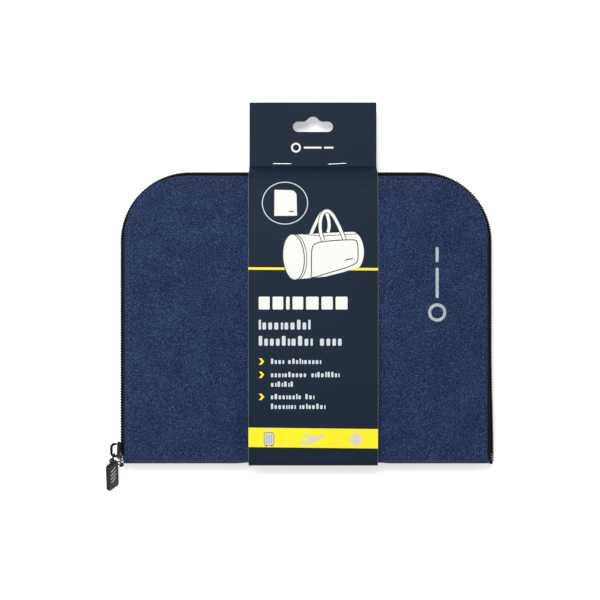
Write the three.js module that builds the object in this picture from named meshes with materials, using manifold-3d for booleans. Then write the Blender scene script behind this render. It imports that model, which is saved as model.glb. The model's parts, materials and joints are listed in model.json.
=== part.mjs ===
// A foldable carry-on bag, packed into its own flat zip pouch, with the stapled hang card around it.
//
// Units are millimetres. +X runs across the pouch, +Y towards the hang header and +Z up through
// the thickness. The pouch lies on its back, and the origin is under the pouch's centre, on the
// surface that it lies on. The spine, where the cover folds open, is the edge at -Y.

import * as THREE from 'three';
import { mergeVertices } from 'three/addons/utils/BufferGeometryUtils.js';
import Module from 'manifold-3d';

const wasm = await Module();
wasm.setup();

// ---------------------------------------------------------------- driving dimensions

const gap = 0.3; // clearance between pieces that lie on each other
const skim = 0.1; // clearance under a printed film and under the card's fold
const past = 1; // how far a cutting tool reaches past what it cuts
const bite = 0.2; // how far solids that are joined reach into each other
const cornerSteps = 5; // half the number of facets round a corner of the pouch
const degrees = Math.PI / 180;

const card = {
  width: 85.4, // along X
  thickness: 0.5,
  offset: 4.6, // of its middle from the pouch's middle, along X
  header: 43, // from the crease to the header's free edge
  crease: 3.6, // from the pouch's top edge to the crease
  shoulder: 1, // how far the slope stays out from the panel's edge
  foldRelief: 0.1, // left open on each side of a folded edge
};

const hangSlot = {
  width: 27,
  height: 7,
  corner: 3.4,
  bump: 10.2, // width of the notch over the slot's middle
  rise: 3.2,
  bumpCorner: 2.5,
  fromEdge: 19.8, // from the header's free edge to the slot's lower side
};

const staple = { crown: 13, wire: 0.5, breadth: 0.7, clinch: 4, apart: 37, aside: -2.1, fromCrease: 1.7 };

const pouch = {
  width: 250, // over the zip's coil
  height: 196, // from the spine to the top of the coil
  side: 26, // between the outer faces of the two panels, at their edges
  corner: 47, // radius of the coil at the two top corners
  rim: 3, // from the coil's outer face in to the edge of the panels
  panelCorner: 39, // radius of the panels at the same corners
  crown: 3, // how far the full pouch lifts the middle of its cover
  leastCorner: 2, // radius of a crown line that has run out of corner
};

// Distances in from a panel's edge where the crowned cover has a facet line.
const crownLines = [8, 18, 28, 48, 68];

const layer = { skin: 0.9, padding: 1.6, lining: 0.5, tape: 0.6, binding: 0.5 };

const seam = {
  tape: 6, // width of zip tape sewn under a panel
  paddingInset: 6.5, // from the panel's edge in to the padding
  liningInset: 0.5,
  bindingInset: 0.6,
  spineInset: 0.3, // from the panel's side edge in to the spine's end
  paddingFoot: 3, // from the spine up to the padding
  liningFoot: 3.5,
  tapeFoot: 2,
};

const coil = { depth: 2.1, height: 2.9, chamfer: 0.7, parting: 0.15, foot: -0.2, stopGap: 0.3 };

const stop = { length: 1.5, bottomLength: 2.3 };

const slider = {
  length: 11,
  middle: 9, // from the spine up to the slider's middle, with the zip closed
  plate: 1.3,
  innerPlate: 1.1,
  flange: 1,
  flare: 0.8, // how much wider each side is at the end where the coils part
  nose: 0.6, // share of a plate's half width that is left at its two ends
  neck: 1, // half of its thickness
  neckLength: 3,
};

const bridge = {
  bar: 1.1, // across the bar, in the plane of the hook
  depth: 1.4, // across the bar, along Z
  bend: 2.4, // radius of the bar's centre line
  reach: 6, // from the coil's outer face out to the centre line
  low: -4.2, // centre line of the arm that grows from the plate
  high: 3.9, // centre line of the free arm
  mouth: 0.6, // between the free tip and the plate
};

const link = { wire: 0.8, halfWidth: 1.5, above: 1.35, reach: 3.6, turn: 20 * degrees };

const tab = {
  length: 20,
  width: 10.3,
  thickness: 2,
  corner: 1.6,
  start: 1.6, // from the eye's axis to the blade
  neck: 3,
  eye: 1.75,
  hole: 1,
  eyeHeight: 1.6,
  eyeFacets: 16,
  droop: 24.2 * degrees,
  twist: 60.4 * degrees,
  yaw: -3.14 * degrees,
};

const mark = {
  x: 86,
  base: -2.4, // lowest point of the ring
  ring: 12,
  stroke: 2,
  long: 20,
  short: 10,
  spacing: 3.5,
  film: 0.15,
  flat: 0.1, // left between the two rounded corners of a bar's end
};

const bag = {
  inset: 10.5, // of the folded bag from the coil's outer face
  foot: 5, // from the spine up to the folded bag
  corner: 34,
  lower: 4, // thickness of each layer, from the bottom up
  ends: 2,
  middle: 3.5,
  upper: 2.7,
  endsInset: 3, // how much smaller than the lowest layer each other layer is, all round
  middleInset: 1,
  upperInset: 2,
  endsApart: 4, // between the two folded ends
};

const anchor = { width: 12, thickness: 0.8, short: 30, y: 10, corner: 2 }; // y up from the bag's foot
const sleeve = { width: 150, length: 120, thickness: 0.8, y: -10, corner: 3 };

const webbing = { width: 25, thickness: 1.6, length: 196, apart: 28, middle: 16, corner: 1 };
const wrap = { length: 58, overhang: 1.5, thickness: 0.7, corner: 4 };
const bagZip = { width: 30, length: 200, thickness: 1.1, y: -45, corner: 1 };
const bagSlider = { length: 9, width: 7, height: 1.1, x: 72, corner: 2 };
const label = { width: 30, height: 18, thickness: 0.3, x: 78, y: 62, corner: 1 };

// ---------------------------------------------------------------- places worked out from them

const foot = -pouch.height / 2;
const head = pouch.height / 2;
const backZ = card.thickness + gap; // outer face of the back panel
const coverZ = backZ + pouch.side; // outer face of the cover, at its edge
const midZ = (backZ + coverZ) / 2; // where the two coils meet
const tapeDepth = layer.skin + gap;
const liningDepth = tapeDepth + layer.padding + gap;
const bindingDepth = liningDepth + layer.lining + gap;
const tapeInset = coil.depth + gap; // from the coil's outer face in to the tape's wall
const headerY = head + card.crease; // the crease
const cutReach = 4 * card.thickness; // from the middle out past both plies of the header

// ---------------------------------------------------------------- materials

function finish(color, roughness, metalness = 0) {
  return () => new THREE.MeshStandardMaterial({ color, roughness, metalness });
}

const finishes = {
  shell: finish(0x2a3f6d, 0.92),
  padding: finish(0x1d1f22, 0.9),
  lining: finish(0x1b2336, 0.8),
  tape: finish(0x141518, 0.85),
  coil: finish(0x1a1b1e, 0.45),
  print: finish(0xb9bec4, 0.5),
  ripstop: finish(0x22335c, 0.6),
  webbing: finish(0x1a2440, 0.85),
  metal: finish(0x121315, 0.4, 0.6),
  rubber: finish(0x232629, 0.6),
  board: finish(0x2b3947, 0.55),
  wire: finish(0xc9ccd0, 0.3, 1),
  label: finish(0xd8d8d4, 0.8),
};

// ---------------------------------------------------------------- geometry helpers

/** Merges equal corners, which leaves position as the only attribute. */
function weld(geometry) {
  geometry.deleteAttribute('normal');
  geometry.deleteAttribute('uv');
  return mergeVertices(geometry, 1e-4);
}

function toSolid(geometry) {
  const welded = weld(geometry.clone());
  return new wasm.Manifold(
    new wasm.Mesh({
      numProp: 3,
      vertProperties: welded.attributes.position.array,
      triVerts: new Uint32Array(welded.index.array),
    }),
  );
}

function toGeometry(solid) {
  const mesh = solid.getMesh();
  const geometry = new THREE.BufferGeometry();
  geometry.setAttribute('position', new THREE.BufferAttribute(mesh.vertProperties, 3));
  geometry.setIndex(new THREE.BufferAttribute(mesh.triVerts, 1));
  return geometry;
}

function join(...geometries) {
  return toGeometry(geometries.map(toSolid).reduce((a, b) => a.add(b)));
}

function cut(geometry, ...tools) {
  return toGeometry(tools.map(toSolid).reduce((a, b) => a.subtract(b), toSolid(geometry)));
}

/** A closed solid through a list of rings with equal counts; flatten gives a ring's plane. */
function loft(rings, flatten) {
  const count = rings[0].length;
  const outline = rings[0].map(flatten);
  const turned = THREE.ShapeUtils.area(outline) < 0;
  const loops = turned ? rings.map((ring) => [...ring].reverse()) : rings;
  const faces = [];
  for (let k = 0; k + 1 < loops.length; k++) {
    for (let i = 0; i < count; i++) {
      const j = (i + 1) % count;
      const [a, b] = [k * count + i, k * count + j];
      faces.push([a, b, b + count], [a, b + count, a + count]);
    }
  }
  const last = (loops.length - 1) * count;
  const cap = (ring) => THREE.ShapeUtils.triangulateShape(ring.map(flatten), []);
  cap(loops[0]).forEach(([a, b, c]) => faces.push([c, b, a]));
  cap(loops.at(-1)).forEach(([a, b, c]) => faces.push([last + a, last + b, last + c]));
  const points = loops.flat();
  const volume = faces.reduce((sum, [a, b, c]) => {
    return sum + points[a].dot(points[b].clone().cross(points[c]));
  }, 0);
  const outward = volume < 0 ? faces.map(([a, b, c]) => [c, b, a]) : faces;
  const geometry = new THREE.BufferGeometry().setFromPoints(points);
  geometry.setIndex(outward.flat());
  return geometry;
}

/** Points of the pouch's outline: up the left side, over the top and down the right. */
function archPoints(inset, radius, left, right = left) {
  const half = pouch.width / 2 - inset;
  const centreY = head - inset - radius;
  const turn = (x, start, end) => {
    return new THREE.EllipseCurve(x, centreY, radius, radius, start, end, true).getPoints(2 * cornerSteps);
  };
  return [
    new THREE.Vector2(-half, left),
    ...turn(-half + radius, Math.PI, Math.PI / 2),
    ...turn(half - radius, Math.PI / 2, 0),
    new THREE.Vector2(half, right),
  ];
}

/** Sweeps a closed profile of [inset, height] points round the zip's three sides. */
function sweepRim(profile, left, right = left) {
  const lines = profile.map(([inset]) => archPoints(inset, pouch.corner - inset, left, right));
  const rings = lines[0].map((_, station) => {
    return profile.map(([, z], i) => new THREE.Vector3(lines[i][station].x, lines[i][station].y, z));
  });
  const flat = new Map();
  rings.forEach((ring) => ring.forEach((p, i) => flat.set(p, new THREE.Vector2(...profile[i]))));
  return loft(rings, (p) => flat.get(p));
}

/** Extrudes a shape along Z; each of its arcs gets twice as many facets as arcSteps. */
function extrude(shape, depth, arcSteps = 2) {
  return new THREE.ExtrudeGeometry(shape, { depth, bevelEnabled: false, curveSegments: arcSteps });
}

/** Extrudes a shape drawn in the YZ plane along X, centred on X = 0. */
function extrudeAcross(shape, depth) {
  const turn = new THREE.Matrix4().makeBasis(
    new THREE.Vector3(0, 1, 0),
    new THREE.Vector3(0, 0, 1),
    new THREE.Vector3(1, 0, 0),
  );
  return extrude(shape, depth).translate(0, 0, -depth / 2).applyMatrix4(turn);
}

function box(x, y, z) {
  const size = [x, y, z].map(([low, high]) => high - low);
  const middle = [x, y, z].map(([low, high]) => (low + high) / 2);
  return new THREE.BoxGeometry(...size).translate(...middle);
}

function roundedRectangle(width, height, radius) {
  const [x, y] = [width / 2, height / 2];
  const shape = new THREE.Shape();
  shape.moveTo(-x + radius, -y);
  shape.lineTo(x - radius, -y);
  shape.absarc(x - radius, -y + radius, radius, -Math.PI / 2, 0, false);
  shape.lineTo(x, y - radius);
  shape.absarc(x - radius, y - radius, radius, 0, Math.PI / 2, false);
  shape.lineTo(-x + radius, y);
  shape.absarc(-x + radius, y - radius, radius, Math.PI / 2, Math.PI, false);
  shape.lineTo(-x, -y + radius);
  shape.absarc(-x + radius, -y + radius, radius, Math.PI, 1.5 * Math.PI, false);
  return shape;
}

/** A strip of even thickness on one side of a line of [y, z] points. */
function ribbon(line, thickness, side) {
  const points = line.map((p) => new THREE.Vector2(...p));
  const normals = points.slice(1).map((p, i) => {
    const along = p.clone().sub(points[i]).normalize();
    return new THREE.Vector2(-along.y, along.x).multiplyScalar(side);
  });
  const offset = points.map((p, i) => {
    const before = normals[Math.max(i - 1, 0)];
    const after = normals[Math.min(i, normals.length - 1)];
    const mitre = before.clone().add(after);
    return p.clone().addScaledVector(mitre, (2 * thickness) / mitre.lengthSq());
  });
  return new THREE.Shape([...points, ...offset.reverse()]);
}

const model = new THREE.Group();

function add(name, geometry, material, place = [0, 0, 0], parent = model) {
  const mesh = new THREE.Mesh(geometry, material());
  mesh.name = name;
  mesh.position.set(...place);
  parent.add(mesh);
  return mesh;
}

// ---------------------------------------------------------------- the pouch's two panels

/** How far the full pouch lifts the cover, at a distance in from the panel's edge. */
function crownAt(distance) {
  const first = crownLines[0];
  const share = (distance - first) / (crownLines.at(-1) - first);
  return pouch.crown * Math.sin((Math.PI / 2) * THREE.MathUtils.clamp(share, 0, 1));
}

/** A flat layer of the back: inset from the coil, and lifted from the spine. */
function backLayer(inset, radius, lift, depth, thickness) {
  const shape = new THREE.Shape(archPoints(inset, radius, foot + lift));
  return extrude(shape, thickness).translate(0, 0, backZ + depth);
}

/** The same layer in the crowned cover, where depth is measured down from the outer face. */
function coverLayer(inset, radius, lift, depth, thickness) {
  const edge = inset - pouch.rim;
  const lines = [edge, ...crownLines.filter((line) => line > edge)];
  const ring = (line, drop) => {
    const step = line - edge;
    const corner = Math.max(radius - step, pouch.leastCorner);
    const z = coverZ - depth - drop + crownAt(line);
    return archPoints(inset + step, corner, foot + (step > 0 ? line : lift)).map(
      (p) => new THREE.Vector3(p.x, p.y, z),
    );
  };
  const below = lines.map((line) => ring(line, thickness)).reverse();
  const above = lines.map((line) => ring(line, 0));
  return loft([...below, ...above], (p) => new THREE.Vector2(p.x, p.y));
}

/** Adds the skin, padding and lining of one half of the pouch. */
function addHalf(side, makeLayer) {
  const paddingInset = pouch.rim + seam.paddingInset;
  const liningInset = pouch.rim + seam.liningInset;
  const layers = [
    ['panel', finishes.shell, pouch.rim, pouch.panelCorner, 0, 0, layer.skin],
    ['stiffener', finishes.padding, paddingInset, pouch.corner - paddingInset, seam.paddingFoot,
      tapeDepth, layer.padding],
    ['lining', finishes.lining, liningInset, pouch.corner - liningInset, seam.liningFoot,
      liningDepth, layer.lining],
  ];
  layers.forEach(([name, material, ...sizes]) => add(`${side}_${name}`, makeLayer(...sizes), material));
}

// ---------------------------------------------------------------- the zip round three sides

/** Turns a height measured in from a panel's outer face into a height above the origin. */
const fromBack = (depth) => backZ + depth;
const fromCover = (depth) => coverZ - depth;

/** The tape: sewn flat under the panel's edge, then a wall up to the coil. */
function tapeGeometry(level) {
  const wall = tapeInset + layer.tape;
  const flange = pouch.rim + seam.tape;
  const edge = pouch.side / 2 - slider.neck - gap;
  const profile = [
    [tapeInset, tapeDepth],
    [flange, tapeDepth],
    [flange, tapeDepth + layer.tape],
    [wall, tapeDepth + layer.tape],
    [wall, edge],
    [tapeInset, edge],
  ];
  return sweepRim(profile.map(([inset, depth]) => [inset, level(depth)]), foot + seam.tapeFoot);
}

/** One half of the coil, with room for the slider's neck where the two halves part. */
function coilGeometry(level) {
  const at = (rise) => level(pouch.side / 2 - rise);
  const profile = [
    [coil.depth, at(coil.parting)],
    [coil.parting, at(coil.parting)],
    [0, at(2 * coil.parting)],
    [0, at(coil.height - coil.chamfer)],
    [coil.chamfer, at(coil.height)],
    [coil.depth, at(coil.height)],
  ];
  const rightFoot = foot + stop.bottomLength + coil.stopGap;
  const whole = sweepRim(profile, foot + coil.foot, rightFoot);
  const low = foot + slider.middle - slider.length / 2 - gap;
  const side = -pouch.width / 2;
  const room = box(
    [side - past, side + coil.depth + past],
    [low, low + slider.neckLength + 2 * gap],
    [midZ - slider.neck - gap, midZ + slider.neck + gap],
  );
  return cut(whole, room);
}

/** The grosgrain that covers the raw edges inside the seam. */
function bindingGeometry(level) {
  const [out, inner] = [pouch.rim + seam.bindingInset, pouch.rim + seam.tape];
  const [outer, top] = [bindingDepth, bindingDepth + layer.binding].map(level);
  return sweepRim([[out, outer], [inner, outer], [inner, top], [out, top]], foot + seam.liningFoot);
}

function addZipHalf(side, level) {
  add(`${side}_zip_tape`, tapeGeometry(level), finishes.tape);
  add(`${side}_coil`, coilGeometry(level), finishes.coil);
  add(`${side}_binding`, bindingGeometry(level), finishes.tape);
  const [low, high] = [coil.height, 2 * coil.parting].map((rise) => level(pouch.side / 2 - rise));
  const outer = -pouch.width / 2;
  const end = foot + coil.foot - coil.stopGap;
  const z = [Math.min(low, high), Math.max(low, high)];
  add(`top_stop_${side}`, box([outer, outer + coil.depth], [end - stop.length, end], z), finishes.metal);
}

function addBottomStop() {
  const outer = pouch.width / 2;
  const clip = box(
    [outer - coil.depth, outer],
    [foot, foot + stop.bottomLength],
    [midZ - coil.height, midZ + coil.height],
  );
  add('bottom_stop', clip, finishes.metal);
}

// ---------------------------------------------------------------- the spine

function addSpine() {
  const half = pouch.width / 2 - pouch.rim - seam.spineInset;
  const pastSkin = layer.skin + gap;
  const pastBinding = bindingDepth + layer.binding + gap;
  const skin = box([-half, half], [foot, foot + layer.skin], [backZ + pastSkin, coverZ - pastSkin]);
  const lining = box(
    [-half, half],
    [foot + pastSkin, foot + pastSkin + layer.lining],
    [backZ + pastBinding, coverZ - pastBinding],
  );
  add('spine_panel', skin, finishes.shell);
  add('spine_lining', lining, finishes.lining);
}

// ---------------------------------------------------------------- slider and pull

/** A slider's plate, wider at the end where the coils part, drawn in the YZ plane. */
function plateShape(halfWidth) {
  const end = slider.length / 2;
  const nose = halfWidth * slider.nose;
  return new THREE.Shape([
    new THREE.Vector2(-end, -nose),
    new THREE.Vector2(-end + slider.flare, -halfWidth - slider.flare),
    new THREE.Vector2(0, -halfWidth),
    new THREE.Vector2(end - slider.flare, -halfWidth),
    new THREE.Vector2(end, -nose),
    new THREE.Vector2(end, nose),
    new THREE.Vector2(end - slider.flare, halfWidth),
    new THREE.Vector2(0, halfWidth),
    new THREE.Vector2(-end + slider.flare, halfWidth + slider.flare),
    new THREE.Vector2(-end, nose),
  ]);
}

/** The open hook that carries the pull, drawn in the XY plane. */
function bridgeShape() {
  const half = bridge.bar / 2;
  const leg = -bridge.reach;
  const bendX = leg + bridge.bend;
  const [low, high] = [bridge.low + bridge.bend, bridge.high - bridge.bend];
  const root = -gap - slider.plate / 2;
  const tip = -gap - slider.plate - bridge.mouth;
  const [outer, inner] = [bridge.bend + half, bridge.bend - half];
  const shape = new THREE.Shape();
  shape.moveTo(root, bridge.low - half);
  shape.lineTo(bendX, bridge.low - half);
  shape.absarc(bendX, low, outer, -Math.PI / 2, -Math.PI, true);
  shape.lineTo(leg - half, high);
  shape.absarc(bendX, high, outer, Math.PI, Math.PI / 2, true);
  shape.lineTo(tip, bridge.high + half);
  shape.lineTo(tip, bridge.high - half);
  shape.lineTo(bendX, bridge.high - half);
  shape.absarc(bendX, high, inner, Math.PI / 2, Math.PI, false);
  shape.lineTo(leg + half, low);
  shape.absarc(bendX, low, inner, Math.PI, 1.5 * Math.PI, false);
  shape.lineTo(root, bridge.low + half);
  return shape;
}

/** The slider's origin is on the coil's outer face; +X points into the pouch. */
function sliderGeometry() {
  const channel = coil.height + gap;
  const wide = channel + slider.flange;
  const flangeEnd = coil.depth;
  const innerFace = tapeInset + layer.tape + gap;
  const end = slider.length / 2;
  const outerPlate = extrudeAcross(plateShape(wide), slider.plate);
  const innerPlate = extrudeAcross(plateShape(channel), slider.innerPlate);
  const flange = (side) => {
    const z = [side * channel, side * wide].sort((a, b) => a - b);
    return box([-gap - bite, flangeEnd], [-end + slider.flare, end - slider.flare], z);
  };
  const neck = box(
    [-gap - bite, innerFace + bite],
    [-end, -end + slider.neckLength],
    [-slider.neck, slider.neck],
  );
  return join(
    outerPlate.translate(-gap - slider.plate / 2, 0, 0),
    innerPlate.translate(innerFace + slider.innerPlate / 2, 0, 0),
    flange(1),
    flange(-1),
    neck,
    extrude(bridgeShape(), bridge.depth).translate(0, 0, -bridge.depth / 2),
  );
}

/** An upright wire loop round the bridge's bar, which passes through its origin. */
function linkGeometry() {
  const inner = link.reach - link.wire / 2;
  const trace = (path, radius) => {
    const [top, low] = [link.above - link.halfWidth, link.halfWidth - inner];
    path.absarc(top, 0, radius, -Math.PI / 2, Math.PI / 2, false);
    path.absarc(low, 0, radius, Math.PI / 2, 1.5 * Math.PI, false);
    return path;
  };
  const shape = trace(new THREE.Shape(), link.halfWidth + link.wire);
  shape.holes.push(trace(new THREE.Path(), link.halfWidth));
  return extrudeAcross(shape, link.wire);
}

/** The moulded blade, turned to hang as it does, joined to the eye that the link runs through. */
function tabGeometry() {
  const shape = roundedRectangle(tab.width, tab.length, tab.corner);
  const blade = extrude(shape, tab.thickness).translate(
    0, -tab.start - tab.length / 2, -tab.thickness / 2,
  );
  const neck = box(
    [-tab.neck / 2, tab.neck / 2],
    [-tab.start - past, 0],
    [-tab.eyeHeight / 2, tab.eyeHeight / 2],
  );
  const hang = new THREE.Matrix4().makeRotationFromEuler(
    new THREE.Euler(tab.droop, tab.twist, tab.yaw, 'ZXY'),
  );
  const disc = (radius, height) => {
    return new THREE.CylinderGeometry(radius, radius, height, tab.eyeFacets).rotateX(Math.PI / 2);
  };
  const lean = new THREE.Matrix4().makeRotationFromEuler(
    new THREE.Euler(tab.droop / 2, 0, tab.yaw, 'ZXY'),
  );
  const body = join(
    blade.applyMatrix4(hang),
    neck.applyMatrix4(lean),
    disc(tab.eye, tab.eyeHeight),
  );
  return cut(body, disc(tab.hole, tab.eyeHeight + 2 * tab.eye));
}

function addSlider() {
  const group = new THREE.Group();
  group.position.set(-pouch.width / 2, foot + slider.middle, midZ);
  model.add(group);
  add('slider_body', sliderGeometry(), finishes.metal, [0, 0, 0], group);
  const bendX = -bridge.reach + bridge.bend;
  const bendY = bridge.low + bridge.bend;
  const out = (reach) => [bendX - reach * Math.sin(link.turn), bendY - reach * Math.cos(link.turn), 0];
  const loop = add('pull_link', linkGeometry(), finishes.metal, out(bridge.bend), group);
  loop.rotation.z = -link.turn;
  add('pull_tab', tabGeometry(), finishes.rubber, out(bridge.bend + link.reach), group);
}

// ---------------------------------------------------------------- the printed mark on the cover

/** The mark lies on one facet of the crowned cover, between two crown lines. */
function addMark() {
  const edge = pouch.width / 2 - pouch.rim;
  const [near, far] = [crownLines[2], crownLines[3]];
  const slope = Math.atan2(crownAt(far) - crownAt(near), far - near);
  const lift = crownAt(near) + (edge - mark.x - near) * Math.tan(slope);
  const group = new THREE.Group();
  group.position.set(mark.x, mark.base, coverZ + lift + skim);
  group.rotation.y = slope;
  model.add(group);
  const ring = new THREE.Shape().absarc(0, mark.ring / 2, mark.ring / 2, 0, 2 * Math.PI, false);
  const inside = mark.ring / 2 - mark.stroke;
  ring.holes.push(new THREE.Path().absarc(0, mark.ring / 2, inside, 0, 2 * Math.PI, true));
  add('mark_ring', extrude(ring, mark.film, 2 * cornerSteps), finishes.print, [0, 0, 0], group);
  let y = mark.ring + mark.spacing;
  for (const [name, length] of [['mark_bar_long', mark.long], ['mark_bar_short', mark.short]]) {
    const bar = roundedRectangle(mark.stroke, length, (mark.stroke - mark.flat) / 2);
    add(name, extrude(bar, mark.film), finishes.print, [0, y + length / 2, 0], group);
    y += length + mark.spacing;
  }
}

// ---------------------------------------------------------------- the bag folded inside

/** A layer of the folded bag over the pouch's inside, or over the part of it between two X. */
function bagLayer(extra, low, high) {
  const inset = bag.inset + extra;
  const points = archPoints(inset, bag.corner, foot + bag.foot + extra);
  const clamped = points.map((p) => new THREE.Vector2(THREE.MathUtils.clamp(p.x, low, high), p.y));
  return new THREE.Shape(clamped);
}

function addFoldedBag() {
  const half = pouch.width / 2 - bag.inset;
  const start = backZ + liningDepth + layer.lining + gap;
  let z = start;
  const stack = (name, shape, thickness, material = finishes.ripstop) => {
    add(name, extrude(shape, thickness), material, [0, 0, z]);
  };
  const climb = (thickness) => {
    z += thickness + gap;
  };
  const anchorShape = roundedRectangle(2 * (half - anchor.short), anchor.width, anchor.corner);
  const anchorY = foot + bag.foot + anchor.y;
  add('bag_anchor_tape', extrude(anchorShape, anchor.thickness), finishes.tape, [0, anchorY, z]);
  climb(anchor.thickness);
  stack('bag_body_lower', bagLayer(0, -half, half), bag.lower);
  climb(bag.lower);
  stack('bag_end_left', bagLayer(bag.endsInset, -half, -bag.endsApart / 2), bag.ends);
  stack('bag_end_right', bagLayer(bag.endsInset, bag.endsApart / 2, half), bag.ends);
  climb(bag.ends);
  stack('bag_body_middle', bagLayer(bag.middleInset, -half, half), bag.middle);
  climb(bag.middle);
  const sleeveShape = roundedRectangle(sleeve.width, sleeve.length, sleeve.corner);
  add('trolley_sleeve', extrude(sleeveShape, sleeve.thickness), finishes.ripstop, [0, sleeve.y, z]);
  climb(sleeve.thickness);
  stack('bag_body_upper', bagLayer(bag.upperInset, -half, half), bag.upper);
  climb(bag.upper);
  addBagTrim(z);
}

/** What lies on top of the folded bag: the two carry handles and their wrap, the zip, a label. */
function addBagTrim(z) {
  const strap = roundedRectangle(webbing.length, webbing.width, webbing.corner);
  const rows = [
    ['front', webbing.middle + webbing.apart / 2],
    ['rear', webbing.middle - webbing.apart / 2],
  ];
  for (const [name, y] of rows) {
    add(`handle_${name}`, extrude(strap, webbing.thickness), finishes.webbing, [0, y, z]);
  }
  const wrapWidth = webbing.apart + webbing.width + 2 * wrap.overhang;
  const wrapZ = z + webbing.thickness + gap;
  const wrapShape = roundedRectangle(wrap.length, wrapWidth, wrap.corner);
  add('handle_wrap', extrude(wrapShape, wrap.thickness), finishes.webbing, [0, webbing.middle, wrapZ]);
  const zipShape = roundedRectangle(bagZip.length, bagZip.width, bagZip.corner);
  add('bag_zip_tape', extrude(zipShape, bagZip.thickness), finishes.tape, [0, bagZip.y, z]);
  const sliderShape = roundedRectangle(bagSlider.length, bagSlider.width, bagSlider.corner);
  const sliderZ = z + bagZip.thickness + gap;
  add('bag_zip_slider', extrude(sliderShape, bagSlider.height), finishes.metal,
    [bagSlider.x, bagZip.y, sliderZ]);
  const labelShape = roundedRectangle(label.width, label.height, label.corner);
  add('bag_label', extrude(labelShape, label.thickness), finishes.label, [label.x, label.y, z]);
}

// ---------------------------------------------------------------- the hang card and its staples

function hangSlotSolid() {
  const base = headerY + card.header - hangSlot.fromEdge;
  const body = roundedRectangle(hangSlot.width, hangSlot.height, hangSlot.corner);
  const notch = roundedRectangle(hangSlot.bump, hangSlot.height, hangSlot.bumpCorner);
  const place = (shape, y) => extrude(shape, 2 * cutReach).translate(0, y, midZ - cutReach);
  return join(
    place(body, base + hangSlot.height / 2),
    place(notch, base + hangSlot.height / 2 + hangSlot.rise),
  );
}

/** The two staples: [name, distance from the card's middle, turn]. */
const stapleRows = [
  ['left', staple.aside - staple.apart / 2, 0],
  ['right', staple.aside + staple.apart / 2, 3 * degrees],
];

function placeStaple(geometry, x, turn) {
  return geometry.rotateZ(turn).translate(x, headerY + staple.fromCrease, midZ);
}

/** Holes for both legs of each staple, which is fixed to this ply. */
function legHoles() {
  const [wide, deep] = [staple.wire / 2 + gap, staple.breadth / 2 + gap];
  const middle = (staple.crown - staple.wire) / 2;
  return stapleRows.flatMap(([, x, turn]) => [-middle, middle].map((leg) => {
    return placeStaple(box([leg - wide, leg + wide], [-deep, deep], [-cutReach, cutReach]), x, turn);
  }));
}

/** Slots that let the clinched staples lift out of the other ply. */
function clinchSlots() {
  const half = staple.crown / 2 + gap;
  const deep = staple.breadth / 2 + gap;
  return stapleRows.map(([, x, turn]) => {
    return placeStaple(box([-half, half], [-deep, deep], [-cutReach, cutReach]), x, turn);
  });
}

function stapleGeometry() {
  const half = staple.crown / 2;
  const wire = staple.wire;
  const top = gap / 2 + card.thickness + gap + wire;
  const inner = half - wire;
  const tip = half - staple.clinch;
  const outline = [
    [-half, top],
    [-half, -top],
    [-tip, -top],
    [-tip, wire - top],
    [-inner, wire - top],
    [-inner, top - wire],
    [inner, top - wire],
    [inner, wire - top],
    [tip, wire - top],
    [tip, -top],
    [half, -top],
    [half, top],
  ];
  const shape = new THREE.Shape(outline.map(([x, z]) => new THREE.Vector2(x, z)));
  return extrude(shape, staple.breadth).translate(0, 0, -staple.breadth / 2).rotateX(Math.PI / 2);
}

function addCard() {
  const group = new THREE.Group();
  group.position.x = card.offset;
  model.add(group);
  const free = headerY + card.header;
  const edge = head - pouch.rim;
  const ply = gap / 2;
  const overCover = (distance) => coverZ + gap + crownAt(distance);
  const frontLine = [
    [free, midZ + ply],
    [headerY, midZ + ply],
    [edge + card.shoulder, coverZ + skim],
    ...crownLines.map((line) => [edge - line, overCover(line)]),
    ...[...crownLines].reverse().map((line) => [foot + line, overCover(line)]),
    [foot + card.foldRelief, coverZ + gap],
  ];
  const backLine = [
    [foot + card.foldRelief, card.thickness],
    [edge + card.shoulder, card.thickness],
    [headerY, midZ - ply],
    [free, midZ - ply],
  ];
  const slot = hangSlotSolid();
  const front = extrudeAcross(ribbon(frontLine, card.thickness, -1), card.width);
  const back = extrudeAcross(ribbon(backLine, card.thickness, -1), card.width);
  add('card_front', cut(front, slot, ...legHoles()), finishes.board, [0, 0, 0], group);
  add('card_back', cut(back, slot, ...clinchSlots()), finishes.board, [0, 0, 0], group);
  const bottom = box(
    [-card.width / 2, card.width / 2],
    [foot - gap - card.thickness, foot - gap],
    [backZ + card.foldRelief, coverZ - card.foldRelief],
  );
  add('card_bottom', bottom, finishes.board, [0, 0, 0], group);
  for (const [name, x, turn] of stapleRows) {
    add(`staple_${name}`, placeStaple(stapleGeometry(), x, turn), finishes.wire, [0, 0, 0], group);
  }
}

// ---------------------------------------------------------------- the whole object

addHalf('back', backLayer);
addHalf('front', coverLayer);
addZipHalf('rear', fromBack);
addZipHalf('front', fromCover);
addBottomStop();
addSpine();
addSlider();
addMark();
addFoldedBag();
addCard();

export default model;
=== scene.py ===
"""Looks of the folded carry-on bag in its zip pouch, with the hang card stapled round it.

Every length is in millimetres until mesh_object() turns it into metres.
"""

import json
import math
import random

import bmesh
import bpy
import numpy as np
from mathutils import Matrix, Vector


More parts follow.
